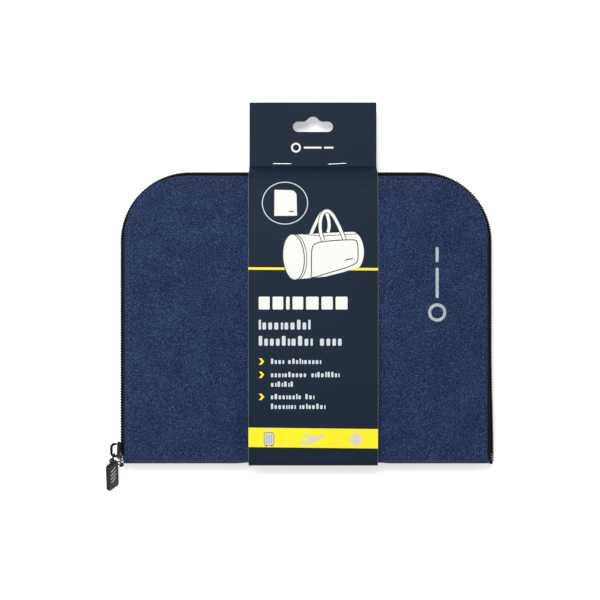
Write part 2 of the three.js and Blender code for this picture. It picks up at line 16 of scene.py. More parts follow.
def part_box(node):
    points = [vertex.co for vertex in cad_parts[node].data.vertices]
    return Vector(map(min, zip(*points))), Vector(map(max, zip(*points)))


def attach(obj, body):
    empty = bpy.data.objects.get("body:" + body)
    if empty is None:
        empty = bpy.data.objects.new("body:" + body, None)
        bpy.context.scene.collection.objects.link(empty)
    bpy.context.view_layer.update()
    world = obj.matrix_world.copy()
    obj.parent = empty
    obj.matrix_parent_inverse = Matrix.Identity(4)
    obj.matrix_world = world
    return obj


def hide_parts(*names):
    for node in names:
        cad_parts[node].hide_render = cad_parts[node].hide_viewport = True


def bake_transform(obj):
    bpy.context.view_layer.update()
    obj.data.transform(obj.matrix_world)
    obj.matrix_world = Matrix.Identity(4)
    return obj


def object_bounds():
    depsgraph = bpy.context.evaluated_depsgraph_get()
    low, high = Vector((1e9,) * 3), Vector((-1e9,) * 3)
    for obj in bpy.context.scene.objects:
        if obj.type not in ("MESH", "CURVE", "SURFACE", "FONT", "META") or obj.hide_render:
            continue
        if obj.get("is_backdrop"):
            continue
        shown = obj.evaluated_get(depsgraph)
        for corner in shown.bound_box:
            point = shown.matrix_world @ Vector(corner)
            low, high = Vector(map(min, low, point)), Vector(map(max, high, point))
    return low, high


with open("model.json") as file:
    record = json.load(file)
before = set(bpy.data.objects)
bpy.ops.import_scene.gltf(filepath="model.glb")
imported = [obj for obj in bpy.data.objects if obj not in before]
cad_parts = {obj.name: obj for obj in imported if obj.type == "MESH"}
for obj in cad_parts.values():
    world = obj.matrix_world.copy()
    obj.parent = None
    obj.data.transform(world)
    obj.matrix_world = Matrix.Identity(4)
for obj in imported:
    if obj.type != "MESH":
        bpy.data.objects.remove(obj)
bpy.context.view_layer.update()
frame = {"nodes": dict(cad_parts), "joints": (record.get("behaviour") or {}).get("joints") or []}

MM = 0.001


# ------------------------------------------------------------------ sizes, from the CAD boxes


def box_mm(node):
    """Lowest and highest corner of a CAD node, in millimetres."""
    low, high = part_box(node)
    return np.array(low) / MM, np.array(high) / MM


def pivot_mm(name):
    """Where a joint's axis passes, in millimetres."""
    joint = next(joint for joint in frame["joints"] if joint["name"] == name)
    return np.array(joint["pos_m"]) / MM


coil_high = box_mm("front_coil")[1]
slider_low, slider_high = box_mm("slider_body")
card_low, card_high = box_mm("card_front")

HALF = coil_high[0]  # half the width over the coil
HEAD = coil_high[1]
FOOT = box_mm("spine_panel")[0][1]
BACK_Z = box_mm("back_panel")[0][2]
MID_Z = (slider_low[2] + slider_high[2]) / 2
COVER_Z = 2 * MID_Z - BACK_Z
CROWN = box_mm("front_panel")[1][2] - COVER_Z
CARD_X = (card_low[0] + card_high[0]) / 2
CARD_HALF = (card_high[0] - card_low[0]) / 2
CARD_THICK = 0.5

COIL_CORNER = 47.0
FABRIC_INSET_SIDE = 4.8  # from the coil's outer face in to the fabric's folded edge
FABRIC_INSET_TOP = 4.2
FABRIC_CORNER = 39.2
STITCH_INSET = 3.0  # from the fabric's folded edge
SKIN = 0.9
SPINE_TURN = 8.0  # from the foot up to where the flat face begins
FOOT_SEAM_Y = FOOT + 8.8


# ------------------------------------------------------------------ lines and curves


def smooth(t):
    """An even step from 0 to 1."""
    t = np.clip(t, 0, 1)
    return t * t * (3 - 2 * t)


def metres(*point):
    return tuple(value * MM for value in point)


def row(x, y, z):
    """Points of one row, of which any coordinate may be a single number."""
    return np.column_stack(np.broadcast_arrays(x, y, z))


def placed(outline, x, y, turn=0.0):
    """A flat outline turned about its origin and moved."""
    c, s = math.cos(turn), math.sin(turn)
    return [(x + c * px - s * py, y + s * px + c * py) for px, py in outline]


def arc(x, y, half_width, half_height, start, end, count=24, turn=0.0):
    """Points along an ellipse from one angle to another, in degrees."""
    angles = np.radians(np.linspace(start, end, count))
    return placed(zip(half_width * np.cos(angles), half_height * np.sin(angles)), x, y, turn)


def circle(x, y, radius, count=48):
    return arc(x, y, radius, radius, 0, 360, count + 1)[:-1]


def rounded_outline(width, height, corner, steps=6):
    """Outline of a rounded rectangle centred on the origin."""
    points = []
    for sx, sy, start in [(1, 1, 0), (-1, 1, 90), (-1, -1, 180), (1, -1, 270)]:
        middle = sx * (width / 2 - corner), sy * (height / 2 - corner)
        points += arc(*middle, corner, corner, start, start + 90, steps + 1)
    return points


def curve_piece(p0, p1, p2, p3, count):
    """A smooth curve from p1 towards p2 that heads the way its neighbours lie."""
    t = np.linspace(0, 1, count, endpoint=False)[:, None]
    bend = (2 * p0 - 5 * p1 + 4 * p2 - p3) * t**2 + (3 * p1 - p0 - 3 * p2 + p3) * t**3
    return 0.5 * (2 * p1 + (p2 - p0) * t + bend)


def smooth_line(points, count):
    """A smooth curve through points."""
    points = np.asarray(points, float)
    ends = 2 * points[0] - points[1], 2 * points[-1] - points[-2]
    padded = np.vstack([ends[0], points, ends[1]])
    pieces = [curve_piece(*padded[i : i + 4], count) for i in range(len(points) - 1)]
    return np.vstack([*pieces, points[-1]])


def smooth_loop(points, count):
    """A smooth closed curve through points."""
    around = np.asarray([points[-1], *points, *points[:2]], float)
    return np.vstack([curve_piece(*around[i : i + 4], count) for i in range(len(points))])


def run_lengths(points):
    """Distance along a line of points up to each of them."""
    return np.concatenate([[0], np.cumsum(np.linalg.norm(np.diff(points, axis=0), axis=1))])


def spaced(start, end, fine, coarse, reach):
    """Values from start to end, fine apart near both ends and coarse apart between them."""
    near = [0.0]
    step = fine
    while near[-1] < reach:
        near.append(near[-1] + step)
        step = min(step * 1.22, coarse)
    near = np.array(near)
    count = max(int((end - start - 2 * near[-1]) / coarse), 2)
    inside = np.linspace(start + near[-1], end - near[-1], count)
    return np.concatenate([start + near[:-1], inside, (end - near[:-1])[::-1]])


def noise_field(seed, waves, longest, shortest):
    """A smooth random field of (x, y): a seeded sum of plane waves, about -1 to 1."""
    r = np.random.default_rng(seed)
    lengths = np.exp(r.uniform(np.log(shortest), np.log(longest), waves))
    angles = r.uniform(0, math.pi, waves)
    phases = r.uniform(0, 2 * math.pi, waves)
    weights = (lengths / longest) ** 0.6
    weights /= np.sqrt((weights**2).sum() / 2)

    def field(x, y):
        total = np.zeros(np.broadcast(x, y).shape)
        for length, angle, phase, weight in zip(lengths, angles, phases, weights):
            along = x * math.cos(angle) + y * math.sin(angle)
            total = total + weight * np.sin(2 * math.pi * along / length + phase)
        return total / 2

    return field


# ------------------------------------------------------------------ the pouch's outline


class Arch:
    """The pouch's outline: left side, rounded top and right side, open at the spine."""

    def __init__(self, half, head, foot, corner):
        self.half, self.head, self.foot, self.corner = half, head, foot, corner

    def rise(self, y):
        """How far a height lies into the rounded corners."""
        return np.asarray(y, float) - (self.head - self.corner)

    def width_at(self, y):
        """Half width at a height y."""
        rise = np.clip(self.rise(y), 0, self.corner)
        return self.half - self.corner + np.sqrt(np.maximum(self.corner**2 - rise**2, 0))

    def straight_inset(self, x, y):
        return np.minimum(self.half - x, self.head - y)

    def inset(self, x, y):
        """Distance of a point in from the outline."""
        x, y = np.abs(np.asarray(x, float)), np.asarray(y, float)
        past, rise = x - (self.half - self.corner), self.rise(y)
        corner = self.corner - np.hypot(past, np.maximum(rise, 0))
        return np.where((past > 0) & (rise > 0), corner, self.straight_inset(x, y))

    def shrunk(self, inset, foot):
        return Arch(self.half - inset, self.head - inset, foot, self.corner - inset)

    def line(self, step):
        """Points [x, y], outward normals and running lengths, from left foot to right foot."""
        side = self.head - self.corner - self.foot
        turn = self.corner * math.pi / 2
        total = 2 * (side + turn + self.half - self.corner)
        lengths = np.linspace(0, total, max(int(total / step), 8) + 1)
        run = np.minimum(lengths, total - lengths)  # the right half mirrors the left half
        mirror = np.where(lengths > total / 2, -1, 1)
        angle = np.clip((run - side) / self.corner, 0, math.pi / 2)
        x = self.corner - self.half - self.corner * np.cos(angle) + np.maximum(run - side - turn, 0)
        y = self.head - self.corner + np.minimum(run - side, 0) + self.corner * np.sin(angle)
        normals = np.column_stack([-np.cos(angle) * mirror, np.sin(angle)])
        return np.column_stack([x * mirror, y]), normals, lengths


class Rectangle(Arch):
    """A rounded rectangle as large as a CAD node, about x = 0."""

    def __init__(self, node, corner):
        low, high = box_mm(node)
        self.centre = (low + high) / 2
        super().__init__((high[0] - low[0]) / 2, high[1], low[1], corner)

    def rise(self, y):
        return np.maximum(super().rise(y), self.foot + self.corner - np.asarray(y, float))

    def straight_inset(self, x, y):
        return np.minimum(super().straight_inset(x, y), y - self.foot)


def zip_arch(foot):
    """The zip's outline over the coil, from a given foot."""
    return Arch(HALF, HEAD, foot, COIL_CORNER)


fabric_arch = Arch(HALF - FABRIC_INSET_SIDE, HEAD - FABRIC_INSET_TOP, FOOT, FABRIC_CORNER)


# ------------------------------------------------------------------ meshes


def mesh_object(name, points, faces, materials, smooth_faces=True, face_materials=None):
    """Makes a mesh object from points in millimetres."""
    mesh = bpy.data.meshes.new(name)
    mesh.from_pydata((np.asarray(points, float) * MM).tolist(), [], [list(map(int, f)) for f in faces])
    for material in materials if isinstance(materials, list) else [materials]:
        mesh.materials.append(material)
    mesh.polygons.foreach_set("use_smooth", [smooth_faces] * len(mesh.polygons))
    if face_materials is not None:
        mesh.polygons.foreach_set("material_index", face_materials)
    mesh.validate()
    mesh.update()
    made = bpy.data.objects.new(name, mesh)
    bpy.context.scene.collection.objects.link(made)
    return made


def fitted(piece, body, replaces=()):
    """Puts a piece on its body and in place of its CAD nodes."""
    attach(piece, body)
    if replaces:
        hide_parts(*replaces)
    return piece


def grid_faces(rows, columns, close_rows=False, close_columns=False):
    """Quads over a grid of points."""
    r = np.arange(rows if close_rows else rows - 1)
    c = np.arange(columns if close_columns else columns - 1)
    rr, cc = np.meshgrid(r, c, indexing="ij")
    r2, c2 = (rr + 1) % rows, (cc + 1) % columns
    quads = np.stack([rr * columns + cc, rr * columns + c2, r2 * columns + c2, r2 * columns + cc], -1)
    return quads.reshape(-1, 4).tolist()


def grid_object(name, grid, material, flipped=False, **closing):
    """A sheet of quads over a grid of points."""
    piece = mesh_object(name, grid.reshape(-1, 3), grid_faces(*grid.shape[:2], **closing), material)
    if flipped:
        piece.data.flip_normals()
    return piece


def facing_out(piece, merge=False, close=False):
    """Turns a closed mesh's faces outwards, after merging its seams or closing its ends."""
    bm = bmesh.new()
    bm.from_mesh(piece.data)
    if merge:
        bmesh.ops.remove_doubles(bm, verts=bm.verts, dist=2e-5)
    if close:
        bmesh.ops.holes_fill(bm, edges=bm.edges, sides=0)
    bmesh.ops.recalc_face_normals(bm, faces=bm.faces)
    bm.to_mesh(piece.data)
    bm.free()
    return piece


def solidify(piece, thickness, offset=-1.0):
    modifier = piece.modifiers.new("thickness", "SOLIDIFY")
    modifier.thickness = thickness * MM
    modifier.offset = offset
    modifier.use_even_offset = False
    return piece


def bevel(piece, width, segments=3):
    modifier = piece.modifiers.new("bevel", "BEVEL")
    modifier.width = width * MM
    modifier.segments = segments
    modifier.limit_method = "ANGLE"
    modifier.angle_limit = math.radians(35)
    modifier.harden_normals = False
    return piece


def tube(points, radius, sides=8, closed=False, squash=1.0):
    """Points and faces of a tube along a line of points, with frames that don't twist."""
    points = np.asarray(points, float)
    count = len(points)
    if closed:
        ahead = np.roll(points, -1, 0) - np.roll(points, 1, 0)
    else:
        ahead = np.gradient(points, axis=0)
    ahead /= np.linalg.norm(ahead, axis=1)[:, None]
    up = np.cross(ahead[0], [0.31, 0.27, 0.91])  # any direction that no tube here runs in
    ups = []
    for direction in ahead:
        up = up - direction * up.dot(direction)
        up /= np.linalg.norm(up)
        ups.append(up)
    ups = np.array(ups)
    across = np.cross(ahead, ups)[:, None]
    angles = np.linspace(0, 2 * math.pi, sides, endpoint=False)[None, :, None]
    ring = ups[:, None] * np.cos(angles) * squash + across * np.sin(angles)
    radii = np.broadcast_to(radius, (count,))[:, None, None]
    faces = grid_faces(count, sides, close_rows=closed, close_columns=True)
    if not closed:
        faces.append(list(range(sides))[::-1])
        faces.append([(count - 1) * sides + i for i in range(sides)])
    return (points[:, None] + radii * ring).reshape(-1, 3), faces


def combine(parts):
    """Joins a list of (points, faces) into one."""
    faces, start = [], 0
    for points, part_faces in parts:
        faces.extend([[i + start for i in face] for face in part_faces])
        start += len(points)
    return np.vstack([points for points, _ in parts]), faces


def filled(loops):
    """The flat area between closed loops, as a bmesh of triangles."""
    bm = bmesh.new()
    edges = []
    for loop in loops:
        corners = [bm.verts.new((x, y, 0)) for x, y in loop]
        edges += [bm.edges.new((a, b)) for a, b in zip(corners, corners[1:] + corners[:1])]
    bmesh.ops.triangle_fill(bm, use_beauty=True, edges=edges)
    return bm


def upward_faces(bm):
    """Points and upward faces of a flat bmesh."""
    bm.verts.index_update()
    faces = [[v.index for v in f.verts] for f in bm.faces]
    if sum(f.normal.z for f in bm.faces) < 0:
        faces = [face[::-1] for face in faces]
    return np.array([v.co[:2] for v in bm.verts]), faces


def slab(name, outline, low, high, material, holes=(), bend=None, edge_material=None):
    """A plate between two heights from an outline with holes, bent by a function of its points."""
    bm = filled([outline, *holes])
    flat, faces = upward_faces(bm)
    border = [[v.index for v in e.verts] for e in bm.edges if len(e.link_faces) == 1]
    bm.free()
    directed = {(a, b) for face in faces for a, b in zip(face, face[1:] + face[:1])}
    count = len(flat)
    points = np.vstack([row(flat[:, 0], flat[:, 1], z) for z in (high, low)])
    solid = faces + [[i + count for i in face[::-1]] for face in faces]
    kinds = [0] * len(solid) + [1 if edge_material else 0] * len(border)
    for a, b in border:
        a, b = (a, b) if (a, b) in directed else (b, a)
        solid.append([b, a, a + count, b + count])
    materials = [material, edge_material] if edge_material else [material]
    points = bend(points) if bend else points
    return mesh_object(name, points, solid, materials, smooth_faces=False, face_materials=kinds)


def film(name, loops, surface, lift, material, body, holes=(), fine=2.0):
    """A thin printed shape that follows a surface of height."""
    bm = filled([*loops, *holes])
    for axis, step in ((1, fine), (0, fine * 2)):
        values = [v.co[axis] for v in bm.verts]
        direction = np.eye(3)[axis]
        for cut in np.arange(math.ceil(min(values) / step) * step, max(values), step):
            parts = bm.verts[:] + bm.edges[:] + bm.faces[:]
            bmesh.ops.bisect_plane(bm, geom=parts, plane_co=direction * cut, plane_no=direction)
    flat, faces = upward_faces(bm)
    bm.free()
    x, y = flat.T
    return fitted(mesh_object(name, row(x, y, surface(x, y) + lift), faces, material), body)


# ------------------------------------------------------------------ materials


class Nodes:
    """A short way to write a procedural material."""

    inputs = {
        "color": "Base Color", "roughness": "Roughness", "metallic": "Metallic", "normal": "Normal",
        "specular": "Specular IOR Level", "sheen": "Sheen Weight", "sheen_roughness": "Sheen Roughness",
    }

    def __init__(self, name):
        self.material = bpy.data.materials.new(name)
        self.material.use_nodes = True
        self.tree = self.material.node_tree
        self.shader = self.tree.nodes["Principled BSDF"]
        self.position = self.tree.nodes.new("ShaderNodeTexCoord").outputs["Object"]

    def feed(self, socket, value):
        """Gives a socket a number, a few numbers or another node's output."""
        if isinstance(value, (int, float, tuple)):
            socket.default_value = value
        else:
            self.tree.links.new(value, socket)

    def add(self, kind, output, inputs, **settings):
        """Adds a node with its inputs and settings, and returns one output."""
        node = self.tree.nodes.new(kind)
        for key, value in settings.items():
            setattr(node, key, value)
        for key, value in inputs.items():
            self.feed(node.inputs[key], value)
        return node.outputs[output]

    def mapped(self, vector, scale=(1.0, 1.0, 1.0), turn=0.0):
        inputs = {"Vector": vector, "Scale": scale, "Rotation": (0.0, 0.0, turn)}
        return self.add("ShaderNodeMapping", "Vector", inputs)

    def noise(self, millimetres, detail, roughness, vector=None, distortion=0.0):
        inputs = {"Vector": vector or self.position, "Scale": 1 / (millimetres * MM), "Detail": detail,
                  "Roughness": roughness, "Distortion": distortion}
        return self.add("ShaderNodeTexNoise", "Fac", inputs)

    def wave(self, millimetres, direction):
        inputs = {"Vector": self.position, "Scale": math.pi / 10 / (millimetres * MM)}
        return self.add("ShaderNodeTexWave", "Fac", inputs, bands_direction=direction)

    def math(self, operation, a, b):
        return self.add("ShaderNodeMath", "Value", {0: a, 1: b}, operation=operation)

    def weighed(self, a, share_a, b, share_b):
        """A weighted sum of two values."""
        a, b = self.math("MULTIPLY", a, share_a), self.math("MULTIPLY", b, share_b)
        return self.math("ADD", a, b)

    def ramp(self, fac, *stops):
        output = self.add("ShaderNodeValToRGB", "Color", {"Fac": fac})
        elements = output.node.color_ramp.elements
        while len(elements) < len(stops):
            elements.new(0.5)
        for element, (place, color) in zip(elements, stops):
            element.position = place
            element.color = (*color, 1)
        return output

    def spread(self, fac, low, high):
        """Stretches the middle of a noise over a range of values."""
        inputs = {"Value": fac, "From Min": 0.3, "From Max": 0.7, "To Min": low, "To Max": high}
        return self.add("ShaderNodeMapRange", "Result", inputs)

    def bump(self, height, millimetres, strength, normal=None):
        inputs = {"Height": height, "Distance": millimetres * MM, "Strength": strength}
        if normal:
            inputs["Normal"] = normal
        return self.add("ShaderNodeBump", "Normal", inputs)

    def set(self, **values):
        """Sets the shader's inputs and returns the finished material."""
        for key, value in values.items():
            self.feed(self.shader.inputs[self.inputs[key]], value)
        return self.material


def srgb(red, green, blue):
    """A colour given as 0 to 255 screen values, as the linear colour that shaders want."""
    parts = (red / 255, green / 255, blue / 255)
    return tuple(((part + 0.055) / 1.055) ** 2.4 if part > 0.04 else part / 12.92 for part in parts)


def shaded(color, factor):
    """A colour made darker or lighter."""
    return tuple(min(part * factor, 1) for part in color)


def melange_fabric(name, dark, middle, light):
    """Brushed twill with a suede-like nap: dark and light flecks on two scales over soft mottling."""
    n = Nodes(name)
    twill = n.mapped(n.mapped(n.position, turn=math.radians(38)), scale=(0.55, 1.0, 1.0))
    flecks = n.noise(0.5, 1.0, 0.6, twill)
    fine = n.noise(0.66, 1.0, 0.5)
    patches = n.noise(16.0, 1.0, 0.5)
    mottled = n.math("MULTIPLY", n.math("SUBTRACT", patches, 0.5), 0.07)
    mixed = n.math("ADD", n.weighed(flecks, 0.5, fine, 0.5), mottled)
    color = n.ramp(mixed, (0.38, dark), (0.49, middle), (0.52, middle), (0.63, light))
    normal = n.bump(n.weighed(flecks, 0.6, fine, 0.4), 0.35, 0.55)
    rough = n.spread(fine, 0.82, 0.97)
    return n.set(color=color, roughness=rough, specular=0.15, sheen=0.05, sheen_roughness=0.5, normal=normal)


def woven_tape(name, dark, light, rib=0.9):
    """Narrow woven tape with slanting ribs."""
    n = Nodes(name)
    fine = n.noise(0.5, 2.0, 0.6)
    height = n.weighed(n.wave(rib, "DIAGONAL"), 0.5, fine, 0.5)
    color = n.ramp(height, (0.25, dark), (0.75, light))
    normal = n.bump(height, 0.25, 0.5)
    return n.set(color=color, roughness=n.spread(fine, 0.7, 0.9), specular=0.06, normal=normal)


def moulded(name, dark, light, roughness, specular=0.5, grain=0.4, metallic=0.0):
    """Plastic, rubber or painted metal with faint grain and uneven gloss."""
    n = Nodes(name)
    speckle = n.noise(grain, 3.0, 0.6)
    wear = n.noise(4.0, 4.0, 0.65)
    color = n.ramp(n.weighed(speckle, 0.5, wear, 0.5), (0.3, dark), (0.7, light))
    rough = n.spread(wear, max(roughness - 0.07, 0.05), min(roughness + 0.09, 1.0))
    normal = n.bump(speckle, 0.05, 0.3)
    return n.set(color=color, roughness=rough, specular=specular, metallic=metallic, normal=normal)


def printed_board(name, color, roughness):
    """Coated card with offset ink: the ink is slightly uneven and the board has a faint tooth."""
    n = Nodes(name)
    tooth = n.noise(0.7, 3.0, 0.6)
    shade = n.weighed(tooth, 0.45, n.noise(30.0, 2.0, 0.5), 0.55)
    paint = n.ramp(shade, (0.35, shaded(color, 0.93)), (0.65, shaded(color, 1.07)))
    waviness = n.bump(n.noise(45.0, 1.0, 0.4), 0.5, 0.10)
    rough = n.spread(tooth, roughness - 0.03, roughness + 0.05)
    return n.set(color=paint, roughness=rough, specular=0.12, normal=n.bump(tooth, 0.02, 0.25, waviness))


def flat_ink(name, color, roughness=0.5):
    """Ink printed over the board."""
    n = Nodes(name)
    tooth = n.noise(0.6, 2.0, 0.5)
    paint = n.ramp(tooth, (0.3, shaded(color, 0.96)), (0.7, shaded(color, 1.03)))
    rough = n.spread(tooth, roughness - 0.04, roughness + 0.05)
    return n.set(color=paint, roughness=rough, specular=0.2, normal=n.bump(tooth, 0.01, 0.2))


def ripstop_fabric(name, base, thread):
    """Thin nylon with a small raised grid and soft creases, whose hollows are painted darker as painted shade.
    """
    n = Nodes(name)
    across, along = [n.math("POWER", n.wave(5.0, direction), 14.0) for direction in "XY"]
    lines = n.math("MAXIMUM", across, along)
    crease_height_and_shade = n.noise(14.0, 4.0, 0.6, distortion=0.4)
    # the colour follows the crease height: lower places are darker, a painted shade; the grid lines are the
    # thread's own colour
    color = n.ramp(n.weighed(lines, 0.55, crease_height_and_shade, 0.45), (0.2, base), (0.62, thread))
    height = n.weighed(lines, 0.12, n.noise(0.4, 1.0, 0.5), 0.08)
    normal = n.bump(crease_height_and_shade, 3.0, 0.6, n.bump(height, 0.6, 0.8))
    rough = n.spread(crease_height_and_shade, 0.42, 0.6)
    return n.set(color=color, roughness=rough, specular=0.45, sheen=0.05, normal=normal)


def lining_fabric(name, base, light):
    """Smooth polyester lining with a fine plain weave."""
    n = Nodes(name)
    weave = n.math("MULTIPLY", n.wave(0.7, "X"), n.wave(0.7, "Y"))
    cloudy = n.noise(12.0, 3.0, 0.6)
    color = n.ramp(n.weighed(weave, 0.4, cloudy, 0.6), (0.2, base), (0.8, light))
    normal = n.bump(cloudy, 1.0, 0.25, n.bump(weave, 0.12, 0.4))
    return n.set(color=color, roughness=n.spread(cloudy, 0.6, 0.75), specular=0.35, normal=normal)


def webbing_fabric(name, base, light):
    """Strap webbing with ribs across it."""
    n = Nodes(name)
    ribs = n.math("MULTIPLY", n.wave(1.6, "X"), n.wave(2.2, "Y"))
    fuzz = n.noise(0.5, 2.0, 0.6)
    weave = n.weighed(ribs, 0.6, fuzz, 0.4)
    color = n.ramp(weave, (0.15, base), (0.75, light))
    rough = n.spread(fuzz, 0.78, 0.92)
    return n.set(color=color, roughness=rough, specular=0.3, normal=n.bump(weave, 0.4, 0.6))


def bright_wire(name):
    """Drawn steel wire."""
    n = Nodes(name)
    drawn = n.noise(0.5, 3.0, 0.6)
    color = n.ramp(drawn, (0.3, (0.74, 0.75, 0.77)), (0.7, (0.9, 0.9, 0.91)))
    rough = n.spread(drawn, 0.34, 0.46)
    return n.set(color=color, roughness=rough, metallic=1.0, normal=n.bump(drawn, 0.02, 0.2))


fabric = melange_fabric("fabric_melange", srgb(9, 16, 33), srgb(26, 40, 70), srgb(58, 78, 120))
thread_light = moulded("thread_light", srgb(44, 61, 97), srgb(62, 81, 122), 0.7, specular=0.12, grain=0.2)
thread_dark = moulded("thread_dark", srgb(7, 7, 9), srgb(16, 16, 19), 0.8, specular=0.1, grain=0.2)
# needle holes: a colour darker than the fabric's, painted shade inside each hole
needle_hole_shade = moulded("needle_hole_shade", srgb(11, 14, 24), srgb(16, 20, 34), 0.9, specular=0.05)
zip_tape = woven_tape("zip_tape", srgb(4, 4, 4), srgb(10, 10, 10))
zip_coil = moulded("zip_coil", srgb(5, 5, 5), srgb(18, 17, 16), 0.3, specular=0.3, grain=0.3)
binding_weave = woven_tape("binding_grosgrain", srgb(16, 17, 20), srgb(38, 40, 44), 1.2)
black_metal = moulded("black_metal", srgb(4, 4, 5), srgb(9, 9, 10), 0.24, specular=0.16)
# the tab's faces: the black rubber painted lighter, a painted highlight; pull_side is the rubber's own black,
# on its edges, rim line and eye
pull_rubber = moulded("pull_rubber", srgb(34, 39, 41), srgb(44, 49, 51), 0.55, specular=0.25, grain=0.25)
pull_side = moulded("pull_side", srgb(9, 10, 11), srgb(16, 17, 18), 0.5, specular=0.25, grain=0.25)
pull_print = flat_ink("pull_print", srgb(178, 188, 190), 0.4)
mark_film = moulded("mark_film", srgb(150, 158, 164), srgb(186, 192, 196), 0.35, metallic=0.25, grain=0.3)
card_ink = printed_board("card_ink", srgb(16, 31, 47), 0.6)
card_inside = printed_board("card_inside", srgb(196, 196, 192), 0.7)
card_edge = printed_board("card_edge", srgb(142, 146, 150), 0.8)
ink_white = flat_ink("ink_white", srgb(223, 223, 218))
ink_soft = flat_ink("ink_soft", srgb(196, 201, 206))
ink_grey = flat_ink("ink_grey", srgb(196, 198, 202))
ink_line = flat_ink("ink_line", srgb(44, 48, 56))
ink_yellow = flat_ink("ink_yellow", srgb(244, 222, 34))
staple_wire = bright_wire("staple_wire")
lining = lining_fabric("lining_weave", srgb(22, 26, 36), srgb(40, 46, 60))
ripstop = ripstop_fabric("ripstop_nylon", srgb(26, 38, 68), srgb(46, 62, 100))
webbing = webbing_fabric("webbing_weave", srgb(20, 28, 50), srgb(40, 52, 82))
label_cloth = lining_fabric("label_cloth", srgb(190, 190, 186), srgb(226, 226, 222))


# ------------------------------------------------------------------ the padded shell, outside


def crown(x, y):
    """How far the full pouch lifts its cover."""

    def rise(distance):
        return np.sin(math.pi / 2 * np.clip((distance - 5) / 58, 0, 1))

    return CROWN * rise(fabric_arch.half - np.abs(x)) * rise(fabric_arch.head - y) * rise(y - FOOT)


def edge_drop(inset):
    """How far the shell falls towards its folded edge, with the sewn groove beside it."""
    slope = 1.9 * np.exp(-inset / 3.6)
    nose = 1.2 * (1 - np.sqrt(1 - (1 - np.clip(inset / 0.6, 0, 1)) ** 2))
    groove = 0.32 * np.exp(-(((inset - STITCH_INSET) / 0.55) ** 2))
    return slope + nose + groove


def beside_card(x):
    """Distance out from the card's side edges, negative under the card."""
    return np.abs(x - CARD_X) - CARD_HALF


cover_waves = noise_field(11, 18, 120, 28)
small_waves = noise_field(12, 30, 26, 9)


def card_press(x, y):
    """How far the wrapped card holds the cover down beside and below itself."""
    return 2.9 * smooth((12 - beside_card(x)) / 12) * smooth((30 - y) / 90)


def cover_height(x, y, lift=0.0):
    """Height of the cover's outer surface over its flat part."""
    inset = fabric_arch.inset(x, y)
    inside = smooth((inset - 3) / 25)
    ripple = (0.32 * cover_waves(x, y) + 0.10 * small_waves(x, y)) * inside
    foot_groove = 0.35 * np.exp(-(((y - FOOT_SEAM_Y) / 0.8) ** 2))
    held = card_press(x, y) * inside
    free = smooth(beside_card(x) / 9)
    return COVER_Z - edge_drop(inset) + crown(x, y) - held - foot_groove + (ripple + lift * inside) * free


def no_lift(x, y):
    return 0.0


def shell_grid(lift=no_lift):
    """Points of half the shell: the flat face, then round the spine down to the zip's level."""
    spine_bulge = 7.6
    flat_end = FOOT + SPINE_TURN
    thetas = np.linspace(math.pi / 2, 0, 26)[1:]
    power = 2 / 2.6
    half = fabric_arch.half
    u = spaced(-1.0, 1.0, 0.16 / half, 2.2 / half, 11 / half)
    rows = []
    for y in spaced(flat_end, fabric_arch.head, 0.16, 2.2, 11)[::-1]:
        x = u * fabric_arch.width_at(y)
        rows.append(row(x, y, cover_height(x, y, lift(x, y))))
    height_at_turn = rows[-1][:, 2] - COVER_Z
    for theta in thetas:
        turn = math.pi / 2 - theta
        x = u * (half + 1.2 * smooth(turn))
        pressed = 0.6 * smooth((9 - beside_card(x)) / 9) * math.sin(turn)
        y = flat_end - spine_bulge * np.cos(theta) ** power + pressed
        z = MID_Z + (COVER_Z - MID_Z) * np.sin(theta) ** power
        raised = height_at_turn * (1 - smooth(turn / 1.1))
        rows.append(row(x, y - raised * math.sin(turn), z + raised * math.cos(turn)))
    return np.stack(rows)


def relaxed_cover():
    """How far cloth lifts when the folded bag pushes it up between its seam and the card, as a field."""
    columns, rows = 64, 52
    y = np.linspace(FOOT + SPINE_TURN, fabric_arch.head - 1, rows)
    x = np.linspace(-1, 1, columns)[None, :] * (fabric_arch.width_at(y) - 1)[:, None]
    yy = np.repeat(y[:, None], columns, 1)
    start = cover_height(x, yy)
    piece = grid_object("cover_cloth_try", np.stack([x, yy, start], -1), fabric)
    held = piece.vertex_groups.new(name="held")
    inset = np.minimum(fabric_arch.inset(x, yy), yy - FOOT - SPINE_TURN)
    weights = np.where(inset < 3.5, 1.0, np.where(beside_card(x) < -3, 0.7, 0.0)).ravel()
    for i in np.flatnonzero(weights):
        held.add([int(i)], weights[i], "REPLACE")
    settings = piece.modifiers.new("cloth", "CLOTH").settings
    settings.quality = 6
    settings.mass = 0.25
    settings.tension_stiffness = 12
    settings.compression_stiffness = 12
    settings.shear_stiffness = 6
    settings.bending_stiffness = 1.4
    settings.shrink_min = -0.012
    settings.vertex_group_mass = "held"
    settings.use_pressure = True
    settings.uniform_pressure_force = 0.9
    settings.effector_weights.gravity = 0
    scene = bpy.context.scene
    for number in range(1, 22):
        scene.frame_set(number)
    done = piece.evaluated_get(bpy.context.evaluated_depsgraph_get()).data
    after = np.array([v.co for v in done.vertices]).reshape(rows, columns, 3) / MM
    scene.frame_set(1)
    bpy.data.objects.remove(piece)
    lift = np.clip(after[..., 2] - start, -1.5, 1.5)

    def field(px, py):
        py = np.asarray(py, float)
        a = np.clip((px / np.maximum(fabric_arch.width_at(py) - 1, 1) + 1) / 2, 0, 1) * (columns - 1)
        b = np.broadcast_to(np.clip((py - y[0]) / (y[-1] - y[0]), 0, 1) * (rows - 1), np.shape(a))
        i, j = np.minimum(a.astype(int), columns - 2), np.minimum(b.astype(int), rows - 2)
        s, t = a - i, b - j
        low = lift[j, i] * (1 - s) + lift[j, i + 1] * s
        high = lift[j + 1, i] * (1 - s) + lift[j + 1, i + 1] * s
        return low * (1 - t) + high * t

    return field


cover_lift = relaxed_cover()


def cover_surface(x, y):
    return cover_height(x, y, cover_lift(x, y))


